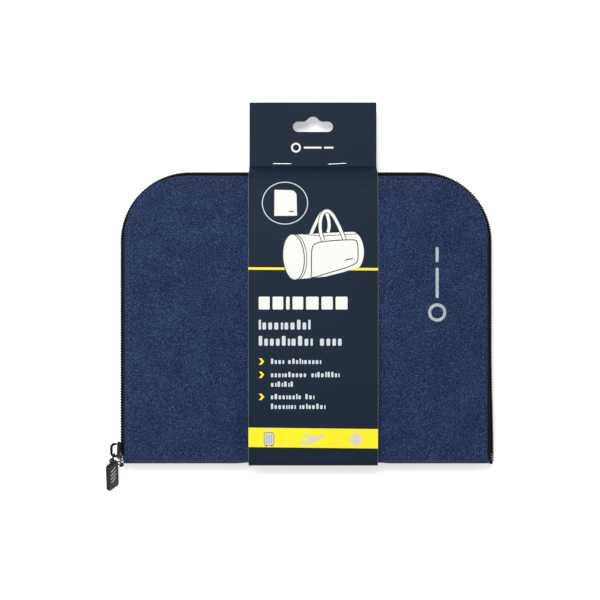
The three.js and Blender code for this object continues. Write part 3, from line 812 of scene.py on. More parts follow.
def back_surface(x, y):
    """Height of the back's outer surface, which sags a little on each side of the card."""
    inset = fabric_arch.inset(x, y)
    sag = 0.45 * smooth((beside_card(x) - 3) / 14) * smooth((inset - 4) / 12) * smooth((y - FOOT - 6) / 14)
    return BACK_Z + edge_drop(inset) - sag


def back_grid(front_grid):
    """The back half of the shell: the front's plan, with its own heights eased into the spine's turn."""
    grid = front_grid.copy()
    mirrored = 2 * MID_Z - shell_grid()[..., 2]
    flat_rows = int((grid[:, 0, 1] > FOOT + SPINE_TURN - 1e-6).sum())
    grid[:flat_rows, :, 2] = back_surface(grid[:flat_rows, :, 0], grid[:flat_rows, :, 1])
    mismatch = mirrored[flat_rows - 1] - grid[flat_rows - 1, :, 2]
    for k in range(flat_rows, len(grid)):
        share = 1 - smooth((k - flat_rows + 1) / 9)
        grid[k, :, 2] = mirrored[k] - mismatch * share
    return grid


def add_shell():
    """The front and back halves of the padded fabric shell, which meet in the spine."""
    grid = shell_grid(cover_lift)
    front = solidify(grid_object("shell_front", grid, fabric, flipped=True), SKIN)
    back = solidify(grid_object("shell_back", back_grid(grid), fabric), SKIN)
    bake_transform(front)
    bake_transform(back)
    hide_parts("front_panel", "front_stiffener")
    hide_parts("back_panel", "back_stiffener", "spine_panel")


add_shell()


# ------------------------------------------------------------------ stitches


def stitch_shapes(places, ups, run, pitch, length, width, slant):
    """Thread stitches and the needle holes between them, laid along a line on a surface; each hole is a dark
    cone coloured with painted shade.
    """
    hole_sides, hole_radius = 8, 0.62
    total = run[-1]
    count = int(total / pitch)
    threads, holes = [], []

    def at(s):
        return np.array([np.interp(s, run, places[:, k]) for k in range(3)])

    def up_at(s):
        up = np.array([np.interp(s, run, ups[:, k]) for k in range(3)])
        return up / np.linalg.norm(up)

    for k in range(count):
        s = (k + 0.5) * total / count
        centre, up = at(s), up_at(s)
        along = at(min(s + 0.4, total)) - at(max(s - 0.4, 0))
        along /= np.linalg.norm(along)
        along = along * math.cos(slant) + np.cross(up, along) * math.sin(slant)
        across = np.cross(up, along)
        t = np.linspace(-1, 1, 6)
        line = centre + along * (t * length / 2)[:, None] + up * (width * 0.38 * (1 - t**2) - 0.05)[:, None]
        threads.append(tube(line, width / 2 * np.sqrt(np.maximum(1 - (t * 0.93) ** 6, 0.05)), 6))
        s = (k + 1.0) * total / count
        if s < total:
            hole = at(s) + up_at(s) * 0.05
            ring = [hole + along * x + across * y for x, y in circle(0, 0, hole_radius, hole_sides)]
            points = np.array([*ring, hole - up_at(s) * 0.25])
            holes.append((points, [[i, (i + 1) % hole_sides, hole_sides] for i in range(hole_sides)]))
    return threads, holes


def arch_line_on(surface, arch, side):
    """Points, outward directions and running lengths of an outline that lies on a surface."""
    points, normals, _ = arch.line(1.0)
    z = [float(surface(np.array([x]), np.array([y]))[0]) for x, y in points]
    places = np.column_stack([points, z])
    tilt = 0.28
    ups = np.column_stack([normals * tilt, np.full(len(points), side)])
    ups /= np.linalg.norm(ups, axis=1)[:, None]
    return places, ups, run_lengths(places)


def straight_line_on(surface, y, x0, x1, side):
    """The same for a straight line across."""
    x = np.linspace(x0, x1, 200)
    places = row(x, y, surface(x, np.full(200, y)))
    return places, np.tile([0.0, 0.0, float(side)], (200, 1)), run_lengths(places)


def add_stitches(name, lines, body, thread=thread_light, pitch=3.6, length=1.6, width=0.72, slant=0.2):
    """Rows of stitches with their needle holes."""
    threads, holes = [], []
    for line in lines:
        made, open_holes = stitch_shapes(*line, pitch, length, width, slant)
        threads += made
        holes += open_holes
    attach(mesh_object(f"stitches_{name}", *combine(threads), thread), body)
    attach(mesh_object(f"needle_holes_{name}", *combine(holes), needle_hole_shade), body)


stitch_arch = fabric_arch.shrunk(STITCH_INSET, FOOT + 9)
panels = [("cover", cover_surface, 1, "cover"), ("back", back_surface, -1, "pouch_back")]
for name, surface, side, body in panels:
    foot_seam = straight_line_on(surface, FOOT_SEAM_Y, -stitch_arch.half, stitch_arch.half, side)
    add_stitches(name, [arch_line_on(surface, stitch_arch, side), foot_seam], body)


# ------------------------------------------------------------------ the zip


ZIP_STEP = 1.5
ZIP_FOOT = FOOT + 2.6
COIL_PITCH = 1.8
COIL_WIRE = 0.34


def flare(s, total):
    """How far the zip's free end splays out over the last part of the right side."""
    return 1.2 * smooth((s - (total - 75)) / 75)


def zip_line(foot, step, inset, height):
    """A line at one inset and height round the zip, with its running lengths."""
    points, normals, lengths = zip_arch(foot).line(step)
    x, y = (points - normals * inset).T
    return row(x, y, height), lengths


def add_tape(name, side, body, node):
    """One half's tape, from under the fabric to the coil, with the two sewn lines beside the coil."""
    profile = [(10.5, 10.2), (8.0, 10.15), (6.0, 10.0), (4.9, 9.6), (4.1, 8.6), (3.6, 7.0), (3.2, 5.2),
               (2.95, 4.2), (2.8, 3.4), (2.7, 2.7)]
    rows = []
    for inset, rise in profile:
        line, lengths = zip_line(ZIP_FOOT, ZIP_STEP, inset, MID_Z + side * rise)
        line[:, 0] += smooth((6.0 - inset) / 4.0) * flare(lengths, lengths[-1])
        rows.append(line)
    piece = grid_object(name, np.stack(rows), zip_tape, flipped=side < 0)
    fitted(solidify(piece, 0.55, 0.0), body, [node])
    sewn = []
    for inset, rise in ((3.2, 5.2), (2.9, 3.7)):
        line, lengths = zip_line(ZIP_FOOT, ZIP_STEP, inset - 0.32, MID_Z + side * rise)
        line[:, 0] += flare(lengths, lengths[-1])
        sewn.append(tube(line, 0.22, 6))
    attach(mesh_object(f"{name}_sewing", *combine(sewn), thread_dark), body)


def coil_line(side, phase):
    """The centre line of one half's coil: a flattened helix round the outline."""
    turn_points = 12
    end_cut = 1.6  # the right-hand end stops inside the bottom stop
    points, normals, lengths = zip_arch(FOOT - 0.3).line(0.6)
    total = lengths[-1]
    s = np.linspace(0, total, int(total / COIL_PITCH * turn_points))
    s = s[s < total - end_cut]
    px, py, nx, ny = [np.interp(s, lengths, values) for values in (*points.T, *normals.T)]
    angle = 2 * math.pi * s / COIL_PITCH + phase
    parted = smooth((10.5 - s) / 8) * (px < 0)  # the halves stand apart below the slider
    out = 1.42 - 1.02 * np.cos(angle) - 1.1 * parted
    rise = 1.38 + 1.42 * np.sin(angle) + 1.7 * parted
    return row(px - nx * out + flare(s, total), py - ny * out, MID_Z + side * rise)


def add_coil(name, side, body, node, phase):
    """One half's coil, with the cord inside it."""
    piece = mesh_object(name, *tube(coil_line(side, phase), COIL_WIRE, 6), zip_coil)
    fitted(piece, body, [node])
    core, lengths = zip_line(FOOT + 7, 2.0, 1.45, MID_Z + side * 1.4)
    core[:, 0] += flare(lengths, lengths[-1])
    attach(mesh_object(f"{name}_cord", *tube(core, 0.62, 8), thread_dark), body)


add_tape("zip_tape_front", 1, "cover", "front_zip_tape")
add_tape("zip_tape_rear", -1, "pouch_back", "rear_zip_tape")
add_coil("zip_coil_front", 1, "cover", "front_coil", 0.0)
add_coil("zip_coil_rear", -1, "pouch_back", "rear_coil", math.pi)

for stop_name in ("top_stop_front", "top_stop_rear", "bottom_stop"):
    stop = frame["nodes"][stop_name]
    stop.data.materials.clear()
    stop.data.materials.append(black_metal)
    bevel(stop, 0.35)


# ------------------------------------------------------------------ slider, link and pull tab


SLIDER_Y = FOOT + 9.0
pull_pivot = pivot_mm("pull_lift")
tab_pivot = pivot_mm("tab_swing")


def slider_plate(name, half_width, x0, x1, edge):
    """A slider's shield-like plate between two values of x: round at the front, wider at the back."""
    length, nose = 11.0, 0.72
    t = np.linspace(0, 1, 25)
    belly = half_width * (nose + (1 - nose) * np.sin(math.pi * np.minimum(t * 1.15, 1)) ** 0.8)
    wide = belly + 0.9 * smooth((t - 0.45) / 0.4) * (1 - smooth((t - 0.88) / 0.12) * 0.7)
    y = SLIDER_Y + length / 2 - length * t
    y, z = np.concatenate([y, y[::-1]]), MID_Z + np.concatenate([wide, -wide[::-1]])
    count = len(y)
    faces = [list(range(count))[::-1], [i + count for i in range(count)]]
    faces += [[i, (i + 1) % count, (i + 1) % count + count, i + count] for i in range(count)]
    piece = mesh_object(name, np.vstack([row(x, y, z) for x in (x0, x1)]), faces, black_metal)
    return bevel(facing_out(piece), edge)


def slider_rail(name, side):
    """A flange that holds one half's coil, spreading towards the rear."""
    x0, x1 = -HALF - 1.0, -HALF + 2.1
    rows = []
    for y in np.linspace(SLIDER_Y - 4.7, SLIDER_Y + 4.7, 9):
        z = MID_Z + side * (3.75 + 0.75 * smooth((SLIDER_Y - y - 0.5) / 3.5))
        rows.append([(x0, y, z - 0.5), (x1, y, z - 0.5), (x1, y, z + 0.5), (x0, y, z + 0.5)])
    grid = np.array(rows)
    faces = grid_faces(*grid.shape[:2], close_columns=True) + [[0, 1, 2, 3], [35, 34, 33, 32]]
    return bevel(facing_out(mesh_object(name, grid.reshape(-1, 3), faces, black_metal)), 0.3, 2)


def slider_hook():
    """The open hook that carries the pull."""
    reach, bend = 6.0, 2.4
    low, high = SLIDER_Y - 4.2, SLIDER_Y + 3.9
    leg = -HALF - reach
    points = [(-HALF - 1.0, low), (-HALF - 2.4, low)]
    points += arc(leg + bend, low + bend, bend, bend, 270, 180, 9)
    points += [(leg, y) for y in np.linspace(low + bend, high - bend, 7)[1:-1]]
    points += arc(leg + bend, high - bend, bend, bend, 180, 90, 9)
    points.append((-HALF - 2.3, high))
    widths = np.full(len(points), 0.92)
    widths[-1] = 0.5
    return mesh_object("slider_hook", *tube([(x, y, MID_Z) for x, y in points], widths, 12), black_metal)


def add_slider():
    outer = slider_plate("slider_plate_outer", 3.5, -HALF - 0.45, -HALF - 1.7, 0.45)
    inner = slider_plate("slider_plate_inner", 2.6, -HALF + 3.3, -HALF + 4.4, 0.35)
    rails = [slider_rail("slider_rail_front", 1), slider_rail("slider_rail_rear", -1)]
    for piece in (outer, inner, *rails, slider_hook()):
        fitted(piece, "slider")
    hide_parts("slider_body")


def add_link():
    """The wire link: two half circles, round the hook and round the pull's eye."""
    lean, radius, above, below = math.radians(20), 1.9, -0.15, -2.1
    loop = arc(0, above, radius, radius, 0, 180, 13) + arc(0, below, radius, radius, 180, 360, 13)
    ring = [pull_pivot + (math.sin(lean) * y, math.cos(lean) * y, z) for z, y in loop]
    piece = mesh_object("pull_link_wire", *tube(ring, 0.4, 10, closed=True), black_metal)
    fitted(piece, "pull_link", ["pull_link"])


def hang(points):
    """Turns points of the tab, drawn flat below its pivot, to the way it hangs from the link."""
    droop, twist, yaw = math.radians(24.2), math.radians(60.4), math.radians(-3.14)
    turn = Matrix.Rotation(yaw, 3, "Z") @ Matrix.Rotation(droop, 3, "X") @ Matrix.Rotation(twist, 3, "Y")
    return np.asarray(points) @ np.array(turn).T + tab_pivot


def add_tab():
    """The rubber pull: a blade with a rim line and four raised ridges, and an eye on the link."""
    width, length, thick, start = 10.3, 20.0, 2.0, 1.6
    middle = -start - length / 2
    outline = placed(rounded_outline(width, length, 1.7, 6), 0, middle)
    top = thick / 2
    # the blade's faces carry the painted highlight, and its edges the rubber's own black
    blade = slab("pull_tab_blade", outline, -top, top, pull_rubber, bend=hang, edge_material=pull_side)
    fitted(bevel(blade, 0.45), "pull_tab", ["pull_tab"])
    rim = [(x * 0.86, middle + (y - middle) * 0.93, top + 0.02) for x, y in outline]
    points, faces = tube(rim, 0.24, 6, closed=True)
    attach(mesh_object("pull_tab_rim", hang(points), faces, pull_side), "pull_tab")
    ridges = []
    t = np.linspace(-1, 1, 9)
    for y, half in ((-6.5, 2.3), (-9.3, 2.9), (-12.1, 2.9), (-14.9, 2.3)):
        line = np.column_stack([t * half, y + 1.035 * t, top + 0.12 * (1 - t**2)])
        ridges.append(tube(line, 0.34 * np.sqrt(1 - (t * 0.93) ** 4), 8))
    points, faces = combine(ridges)
    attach(mesh_object("pull_tab_ridges", hang(points), faces, pull_print), "pull_tab")
    ring = [tab_pivot + (x, y, 0) for x, y in circle(0, 0, 1.35, 20)]
    neck_top = tab_pivot + (0.0, -1.2, 0.0)
    neck = [neck_top + (hang([0.0, -start - 1.6, 0.0]) - neck_top) * s for s in np.linspace(0, 1, 6)]
    eye = [tube(ring, 0.5, 10, closed=True, squash=1.25), tube(neck, np.linspace(0.8, 1.35, 6), 10)]
    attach(mesh_object("pull_tab_eye", *combine(eye), pull_side), "pull_tab")


add_slider()
add_link()
add_tab()


# ------------------------------------------------------------------ printed mark on the cover


def add_mark():
    """A plain ring and two bars down the cover's lower right."""
    low, high = box_mm("mark_ring")
    x, y = (low[0] + high[0]) / 2, (low[1] + high[1]) / 2
    shapes = [("mark_ring", circle(x, y, 6.0), [circle(x, y, 4.0)])]
    for node in ("mark_bar_long", "mark_bar_short"):
        low, high = box_mm(node)
        bar = rounded_outline(2.0, high[1] - low[1], 0.98, 8)
        shapes.append((node, placed(bar, x, (low[1] + high[1]) / 2), []))
    for node, outline, holes in shapes:
        film(f"{node}_print", [outline], cover_surface, 0.08, mark_film, "cover", holes,
                           fine=1.5)
    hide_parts("mark_ring", "mark_bar_long", "mark_bar_short")


add_mark()


# ------------------------------------------------------------------ the hang card


HEADER_TOP = card_high[1]
CREASE_Y = 101.6
SHOULDER_Y = 96.0
PLY_GAP = 0.15  # from the pouch's middle height to each ply of the header
HEADER_Z = MID_Z + PLY_GAP + CARD_THICK
HEADER_BACK_Z = MID_Z - PLY_GAP - CARD_THICK
CARD_FACE_Z = COVER_Z + 0.8
CARD_FOOT = FOOT + 0.25
FOLD_RADIUS = 2.6
FOLD_Y = CARD_FOOT + FOLD_RADIUS
FOLD_TOP_Z = CARD_FACE_Z - FOLD_RADIUS
FOLD_SHARE = 44.0  # degrees of each rounded fold that belong to one leaf
CARD_LEFT, CARD_RIGHT = CARD_X - CARD_HALF, CARD_X + CARD_HALF


def fold_arc(z, start, end):
    """Part of a rounded fold at the card's foot, as (y, z) points."""
    return arc(FOLD_Y, z, FOLD_RADIUS, FOLD_RADIUS, start, end, 7)


def card_front_line():
    """The front leaf's outer face as (y, z) points, from the crease down to the fold at the foot."""

    def rise(distance):
        return np.sin(math.pi / 2 * np.clip(distance / 60, 0, 1))

    shoulder = [(CREASE_Y, HEADER_Z), (99.6, 18.6), (97.6, 22.4), (95.4, 25.2), (92.6, 26.7), (89.0, 27.5)]
    y = np.linspace(SHOULDER_Y - 10, FOLD_Y + 0.5, 90)
    face = np.column_stack([y, CARD_FACE_Z + CROWN * rise(HEAD - 4 - y) * rise(y - FOOT)])
    fold = fold_arc(FOLD_TOP_Z, 90, 90 + FOLD_SHARE)
    return np.vstack([smooth_line([*shoulder, face[0]], 7), face[1:], fold[1:]])


def card_bottom_line():
    points = fold_arc(FOLD_TOP_Z, 180 - FOLD_SHARE, 180)
    points += [(CARD_FOOT, z) for z in np.linspace(FOLD_TOP_Z - 1, FOLD_RADIUS + 1, 12)]
    return np.array(points + fold_arc(FOLD_RADIUS, 180, 180 + FOLD_SHARE))


def card_back_line():
    """The back leaf, which lies on the table and rises to the header behind the pouch."""
    end = SHOULDER_Y - 2
    points = fold_arc(FOLD_RADIUS, 270 - FOLD_SHARE, 270)
    points += [(y, 0.0) for y in np.linspace(FOLD_Y + 1, end, 40)]
    for t in np.linspace(0, 1, 12)[1:]:
        points.append((end + (CREASE_Y - end) * t + 0.9 * math.sin(math.pi * t), HEADER_BACK_Z * t**1.1))
    return np.array(points)


def card_leaf(name, line, body):
    """A strip of card on a line in the YZ plane, with its printed face outwards and pale cut edges."""
    steps = np.linalg.norm(np.diff(line, axis=0), axis=1)
    line = line[np.concatenate([[True], steps > 1e-4])]
    tangent = np.gradient(line, axis=0)
    tangent /= np.linalg.norm(tangent, axis=1)[:, None]
    inner_line = line - np.column_stack([tangent[:, 1], -tangent[:, 0]]) * CARD_THICK
    rim = 1 - 0.12 / CARD_HALF
    x = CARD_X + CARD_HALF * np.concatenate([[-1], np.linspace(-rim, rim, 25), [1]])
    points = np.vstack([row(x, y, z) for y, z in (*line, *inner_line)])
    rows, columns = len(line), len(x)
    count = rows * columns
    quads = grid_faces(rows, columns)
    printed, inside, cut = 0, 1, 2
    faces = quads + [[i + count for i in quad[::-1]] for quad in quads]
    kinds = [cut if i % (columns - 1) in (0, columns - 2) else printed for i in range(len(quads))]
    kinds += [inside] * len(quads)
    sides = [(i, i + columns, cut) for c in (0, columns - 1) for i in range(c, count - columns, columns)]
    sides += [(i, i + 1, printed) for start in (0, count - columns) for i in range(start, start + columns - 1)]
    for a, b, kind in sides:
        faces.append([a, b, b + count, a + count])
        kinds.append(kind)
    piece = mesh_object(name, points, faces, [card_ink, card_inside, card_edge], face_materials=kinds)
    facing_out(piece).data.set_sharp_from_angle(angle=math.radians(50))
    return fitted(piece, body, [body])


def slot_outline():
    """The euro slot: a long pill with a dome over its middle."""
    half_width, half_height = 13.5, 3.5
    base = HEADER_TOP - 19.8 + half_height
    top = base + half_height
    end = half_width - half_height
    fillet, dome = 1.2, 4.2
    points = arc(-end, base, half_height, half_height, 90, 270, 13)
    points += arc(end, base, half_height, half_height, -90, 90, 13)
    points += arc(5.9, top + fillet, fillet, fillet, 270, 208, 6)
    points += arc(0, top - 0.9, dome * 1.05, dome, 28, 152, 15)
    points += arc(-5.9, top + fillet, fillet, fillet, -28, -90, 6)
    return placed(points, CARD_X, 0)


def add_header():
    """The two plies above the crease, with the slot through both."""
    cut = 0.4
    outline = [
        (CARD_LEFT, CREASE_Y), (CARD_RIGHT, CREASE_Y),
        (CARD_RIGHT, HEADER_TOP - cut), (CARD_RIGHT - cut, HEADER_TOP),
        (CARD_LEFT + cut, HEADER_TOP), (CARD_LEFT, HEADER_TOP - cut),
    ]
    for name, low, body in (("front", MID_Z + PLY_GAP, "card_front"), ("back", HEADER_BACK_Z, "card_back")):
        piece = slab(f"card_header_{name}", outline, low, low + CARD_THICK, card_ink, holes=[slot_outline()],
                     edge_material=card_edge)
        fitted(piece, body)


front_leaf_line = card_front_line()
card_leaf("card_leaf_front", front_leaf_line, "card_front")
card_leaf("card_leaf_bottom", card_bottom_line(), "card_bottom")
card_leaf("card_leaf_back", card_back_line(), "card_back")
add_header()


# ------------------------------------------------------------------ what is printed on the card


PRINT = 0.05  # lift of the first layer of print; each later layer is lifted a little more
TEXT_X = CARD_X - 35.8


def card_surface(x, y):
    """Height of the card's printed face over its front."""
    ys, zs = front_leaf_line[::-1].T
    return np.interp(y, ys, zs)


def flat_surface(z):
    return lambda x, y: np.full(np.shape(x), z)


def ink(name, loops, material, layer=1, surface=card_surface, holes=(), fine=2.0):
    """A printed shape on the card."""
    film(f"print_{name}", loops, surface, PRINT * layer, material, "card_front", holes, fine)


def stroke(name, points, width, material, layer, closed=False):
    """A printed line of even width."""
    points = np.asarray(points, float)
    ahead = np.roll(points, -1, 0) - np.roll(points, 1, 0) if closed else np.gradient(points, axis=0)
    ahead /= np.linalg.norm(ahead, axis=1)[:, None]
    side = np.column_stack([-ahead[:, 1], ahead[:, 0]]) * width / 2
    left, right = (points + side).tolist(), (points - side)[::-1].tolist()
    if closed:
        ink(name, [left], material, layer, holes=[right])
    else:
        ink(name, [left + right], material, layer)


def strip(name, y_left, y_right, width):
    """A yellow strip across the card, a little out of level."""
    left, right = CARD_LEFT + 0.12, CARD_RIGHT - 0.12
    outline = [(left, y_left), (right, y_right), (right, y_right + width), (left, y_left + width)]
    ink(name, [outline], ink_yellow)


def icon_circle():
    """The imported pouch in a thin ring."""
    x, y = CARD_X - 18.6, 75.6
    outer, inner = [arc(x, y, 15.2 - cut, 14.2 - cut, 0, 360, 73)[:-1] for cut in (0.0, 0.6)]
    ink("circle", [outer], ink_soft, holes=[inner])
    corner = 4.0
    outline = [(-7.6, -8.6), (7.0, -8.6), (7.6, -8.0)]
    outline += arc(7.3 - corner, 8.7 - corner, corner, corner, 0, 90, 9)
    outline = placed(outline + [(-7.2, 9.0), (-7.6, 8.4)], x + 0.5, y)
    ink("circle_pouch", [outline], ink_white)
    stroke("circle_pouch_edge", outline, 0.4, ink_line, 2, closed=True)
    ink("circle_pouch_mark", [placed(rounded_outline(3.6, 0.7, 0.3, 3), x + 4.2, y - 5.6)], ink_line, 2)


def duffel():
    """A plain barrel bag with a front pocket and two carry handles, in white with thin grey lines."""
    end_x, end_y, end_half_width, end_half_height, lean = CARD_X - 12.9, 40.0, 7.0, 15.0, math.radians(4)
    body = arc(end_x, end_y, end_half_width, end_half_height, 78, 282, 40, lean)
    body += placed([(8, 27.2), (20, 30.2), (27, 32.6)], CARD_X, 0)
    body += arc(CARD_X + 26.0, 44.0, 7.2, 12.6, -62, 84, 26, math.radians(3))
    body += placed([(12, 56.0), (-2, 55.2)], CARD_X, 0)
    ink("bag_body", [body], ink_white, 2)
    end = arc(end_x, end_y, end_half_width, end_half_height, 0, 360, 60, lean)[:-1]
    stroke("bag_end", end, 0.6, ink_line, 3, closed=True)
    piping = arc(end_x + 1.6, end_y + 0.1, end_half_width, end_half_height, 82, -84, 30, lean)
    stroke("bag_end_piping", piping, 0.45, ink_line, 3)
    pocket = [
        (-0.6, 26.6), (10, 29.6), (22, 33.2), (27.6, 35.8), (29.2, 38.4), (29.4, 44.0), (28.9, 49.0),
        (26.8, 51.2), (16, 51.0), (6, 50.0), (1.4, 48.8), (-0.6, 46.2), (-1.2, 40), (-1.2, 30),
    ]
    stroke("bag_pocket", smooth_loop(placed(pocket, CARD_X, 0), 6), 0.62, ink_line, 3, closed=True)
    seam = placed([(-6.6, 55.0), (6, 54.0), (18, 54.6), (29, 55.2)], CARD_X, 0)
    stroke("bag_seam", smooth_line(seam, 8), 0.42, ink_line, 3)
    far = [
        (-1.6, 55.0), (0.6, 60.0), (3.6, 66.0), (6.2, 69.3),
        (8.8, 68.6), (10.2, 64.0), (10.4, 59.5), (9.6, 56.2),
    ]
    near = [
        (6.6, 50.6), (4.9, 56.0), (4.6, 63.0), (6.2, 68.6),
        (9.4, 70.4), (13.0, 67.4), (17.0, 60.0), (20.6, 51.6),
    ]
    for name, points, layer in (("far", far, 1), ("near", near, 4)):
        line = smooth_line(placed(points, CARD_X, 0), 8)
        stroke(f"bag_handle_{name}_edge", line, 2.9, ink_line, layer)
        stroke(f"bag_handle_{name}", line, 1.9, ink_white, layer + 1)
    tag = placed(rounded_outline(5.4, 0.7, 0.3, 3), CARD_X + 23.6, 38.6, math.radians(12))
    ink("bag_tag", [tag], ink_line, 3)


def word_blocks(name, start, end, y, height, cell):
    """Blocks in place of words: a row of small rounded bars."""
    fill = 0.62
    r = random.Random(f"{start}{y}")
    loops = []
    x = start
    while x < end - cell * 0.4:
        wide = min(cell * r.choice([0.62, 0.95, 1.0, 1.1]), end - x)
        tall = height * r.choice([0.72, 0.72, 0.72, 1.0])
        corner = min(wide * fill, tall) * 0.3
        loops.append(placed(rounded_outline(wide * fill, tall, corner, 3), x + wide * fill / 2, y + tall / 2))
        x += wide
    ink(name, loops, ink_soft, fine=4.0)


def title_blocks(y, height):
    """Seven plain blocks where the title stands."""
    widths, gap = (7.2, 7.0, 2.3, 7.0, 8.2, 7.4, 7.8), 1.9
    x, loops = TEXT_X, []
    for wide in widths:
        loops.append(placed(rounded_outline(wide, height, 0.7, 4), x + wide / 2, y + height / 2))
        x += wide + gap
    ink("title", loops, ink_white, fine=4.0)


def text_blocks():
    """The title, two lines below it and a list with three yellow bullets."""
    title_blocks(5.6, 8.4)
    lines = [("one", 0.0, 35.6, -7.6), ("two_a", 0.0, 37.0, -18.2), ("two_b", 40.2, 56.6, -18.2)]
    for name, start, end, y in lines:
        word_blocks(f"subtitle_{name}", TEXT_X + start, TEXT_X + end, y, 6.4, 3.9)
    chevron = [(-1.5, 2.1), (0.2, 2.1), (2.0, 0.0), (0.2, -2.1), (-1.5, -2.1), (0.3, 0.0)]
    for number, y in enumerate((-28.6, -37.3, -51.8)):
        ink(f"bullet_{number}", [placed(chevron, TEXT_X + 1.6, y)], ink_yellow)
    words = [
        (-30.2, 0.0, 9.4), (-30.2, 11.3, 33.6), (-38.9, 0.0, 24.4), (-38.9, 26.6, 45.6), (-45.2, 0.0, 15.8),
        (-53.4, 0.0, 20.6), (-53.4, 22.6, 29.0), (-59.8, 0.0, 17.0), (-59.8, 18.8, 36.4),
    ]
    for number, (y, start, end) in enumerate(words):
        word_blocks(f"small_{number}", TEXT_X + 8.0 + start, TEXT_X + 8.0 + end, y, 3.5, 2.5)


def icon_case(x, y):
    """A small wheeled case."""
    shell = placed(rounded_outline(6.4, 8.6, 1.1, 4), x, y - 0.4)
    ink("case", [shell], ink_grey, 2)
    stroke("case_edge", shell, 0.3, ink_line, 3, closed=True)
    handle = [(-1.7, 4.0), (-1.5, 5.3), (0, 5.6), (1.5, 5.3), (1.7, 4.0)]
    stroke("case_handle", placed(handle, x, y), 0.5, ink_grey, 2)
    for name, wheel in (("a", -1.9), ("b", 1.9)):
        ink(f"case_wheel_{name}", [circle(x + wheel, y - 5.1, 0.5, 10)], ink_line, 2)
    for number, rib in ((5, -1.5), (20, 0.0), (35, 1.5)):
        stroke(f"case_rib_{number}", [(x + rib, y - 3.6), (x + rib, y + 2.6)], 0.22, ink_line, 3)


def icon_plane(x, y):
    """A plain aeroplane from the side."""
    outline = [
        (-8.2, 0.8), (-6.6, 0.9), (-5.0, -0.7), (-1.2, -0.6), (-5.6, 4.4), (-3.9, 4.6), (3.0, 0.3), (7.2, 0.8),
        (8.4, 0.2), (7.8, -0.8), (2.0, -2.3), (-5.6, -2.5), (-7.2, -1.6),
    ]
    ink("plane", [placed(outline, x, y, math.radians(19))], ink_grey, 2)


def icon_weave(x, y):
    """A slanting weave of four by four threads."""
    for k, offset in enumerate((-3.0, -1.0, 1.0, 3.0)):
        bar = placed(rounded_outline(2 * (4.3 - abs(offset) * 0.45), 1.1, 0.5, 3), 0, offset)
        for name, degrees, layer in (("a", 45, 2), ("b", -45, 3)):
            ink(f"weave_{k}_{name}", [placed(bar, x, y, math.radians(degrees))], ink_grey, layer)


def header_mark():
    """The same plain ring and bars as on the pouch, lying across the header."""
    x, y = CARD_X - 11.4, 114.2
    header = flat_surface(HEADER_Z)
    ring, hole = circle(x, y, 3.3, 36), circle(x, y, 2.1, 36)
    ink("header_ring", [ring], ink_white, surface=header, holes=[hole], fine=8)
    for name, start, length in (("long", 5.2, 12.0), ("short", 18.8, 6.4)):
        outline = placed(rounded_outline(length, 1.2, 0.5, 5), x + start + length / 2, y)
        ink(f"header_{name}", [outline], ink_white, surface=header, fine=8)


def add_staple(name, node, turn):
    """A driven wire staple: crown over the header, legs through it, ends clinched below."""
    low, high = box_mm(node)
    middle = (low + high) / 2
    half, wire = 6.25, 0.34
    top, bottom = HEADER_Z + wire * 0.9, HEADER_BACK_Z - wire * 0.9
    path = [(-2.6, bottom - 0.05), (-half + 1.2, bottom - 0.12)]
    path += arc(-half + 0.5, bottom + 0.4, 0.5, 0.4, 258.54, 180, 5)
    path.append((-half, (top + bottom) / 2))
    path += arc(-half + 0.5, top - 0.4, 0.5, 0.4, 180, 90, 6)
    path += [(-half * 0.4, top + 0.05), (0.0, top + 0.06)]
    path += [(-x, z) for x, z in path[-2::-1]]
    x, z = np.array(path).T
    line = row(middle[0] + math.cos(turn) * x, middle[1] + math.sin(turn) * x, z)
    fitted(mesh_object(name, *tube(line, wire, 10), staple_wire), "card_front", [node])


strip("rule", 31.7, 31.2, 1.6)
strip("band", -85.0, -86.0, 12.9)
icon_circle()
duffel()
text_blocks()
icon_case(CARD_LEFT + 13.6, -79.2)
icon_plane(CARD_X - 0.6, -79.6)
icon_weave(CARD_RIGHT - 14.6, -79.9)
header_mark()
add_staple("staple_wire_left", "staple_left", 0.0)
add_staple("staple_wire_right", "staple_right", math.radians(3.0))


# ------------------------------------------------------------------ inside the pouch


lining_arch = Arch(HALF - 5.5, HEAD - 5.5, FOOT + 1.6, COIL_CORNER - 5.5)
lining_waves = noise_field(21, 24, 70, 14)


def front_lining_height(x, y):
    pucker = 0.35 * lining_waves(x, y) * smooth((lining_arch.inset(x, y) - 2) / 12)
    return COVER_Z - 3.7 + crown(x, y) - 0.6 * card_press(x, y) + pucker


def back_lining_height(x, y):
    return BACK_Z + 3.6 + 0.3 * lining_waves(x + 40, y) * smooth((lining_arch.inset(x, y) - 2) / 12)


def add_lining(name, surface, body, node):
    """A lining sheet cut to the pouch's outline and stretched in it."""
    arch, step = lining_arch, 2.5
    u = spaced(-1.0, 1.0, 0.5 / arch.half, step / arch.half, 6 / arch.half)
    rows = []
    for y in spaced(arch.foot, arch.head, 0.5, step, 6)[::-1]:
        x = u * arch.width_at(y)
        rows.append(row(x, y, surface(x, np.full(len(x), y))))
    piece = solidify(grid_object(name, np.stack(rows), lining, flipped=body == "pouch_back"), 0.4, 0.0)
    fitted(piece, body, [node])


def add_spine_lining(name, side):
    """Half of the lining inside the spine."""
    reach = 9.6
    x = np.linspace(-lining_arch.half, lining_arch.half, 90)
    ripple = 0.25 * lining_waves(x, x * 0 + 3)
    rows = []
    for t in np.linspace(0, 1, 14):
        rows.append(row(x, FOOT + 1.9 + 2.4 * t**3 + ripple * (1 - t), MID_Z + side * reach * t))
    piece = solidify(grid_object(name, np.stack(rows), lining, flipped=side > 0), 0.35, 0.0)
    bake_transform(piece)
    return piece


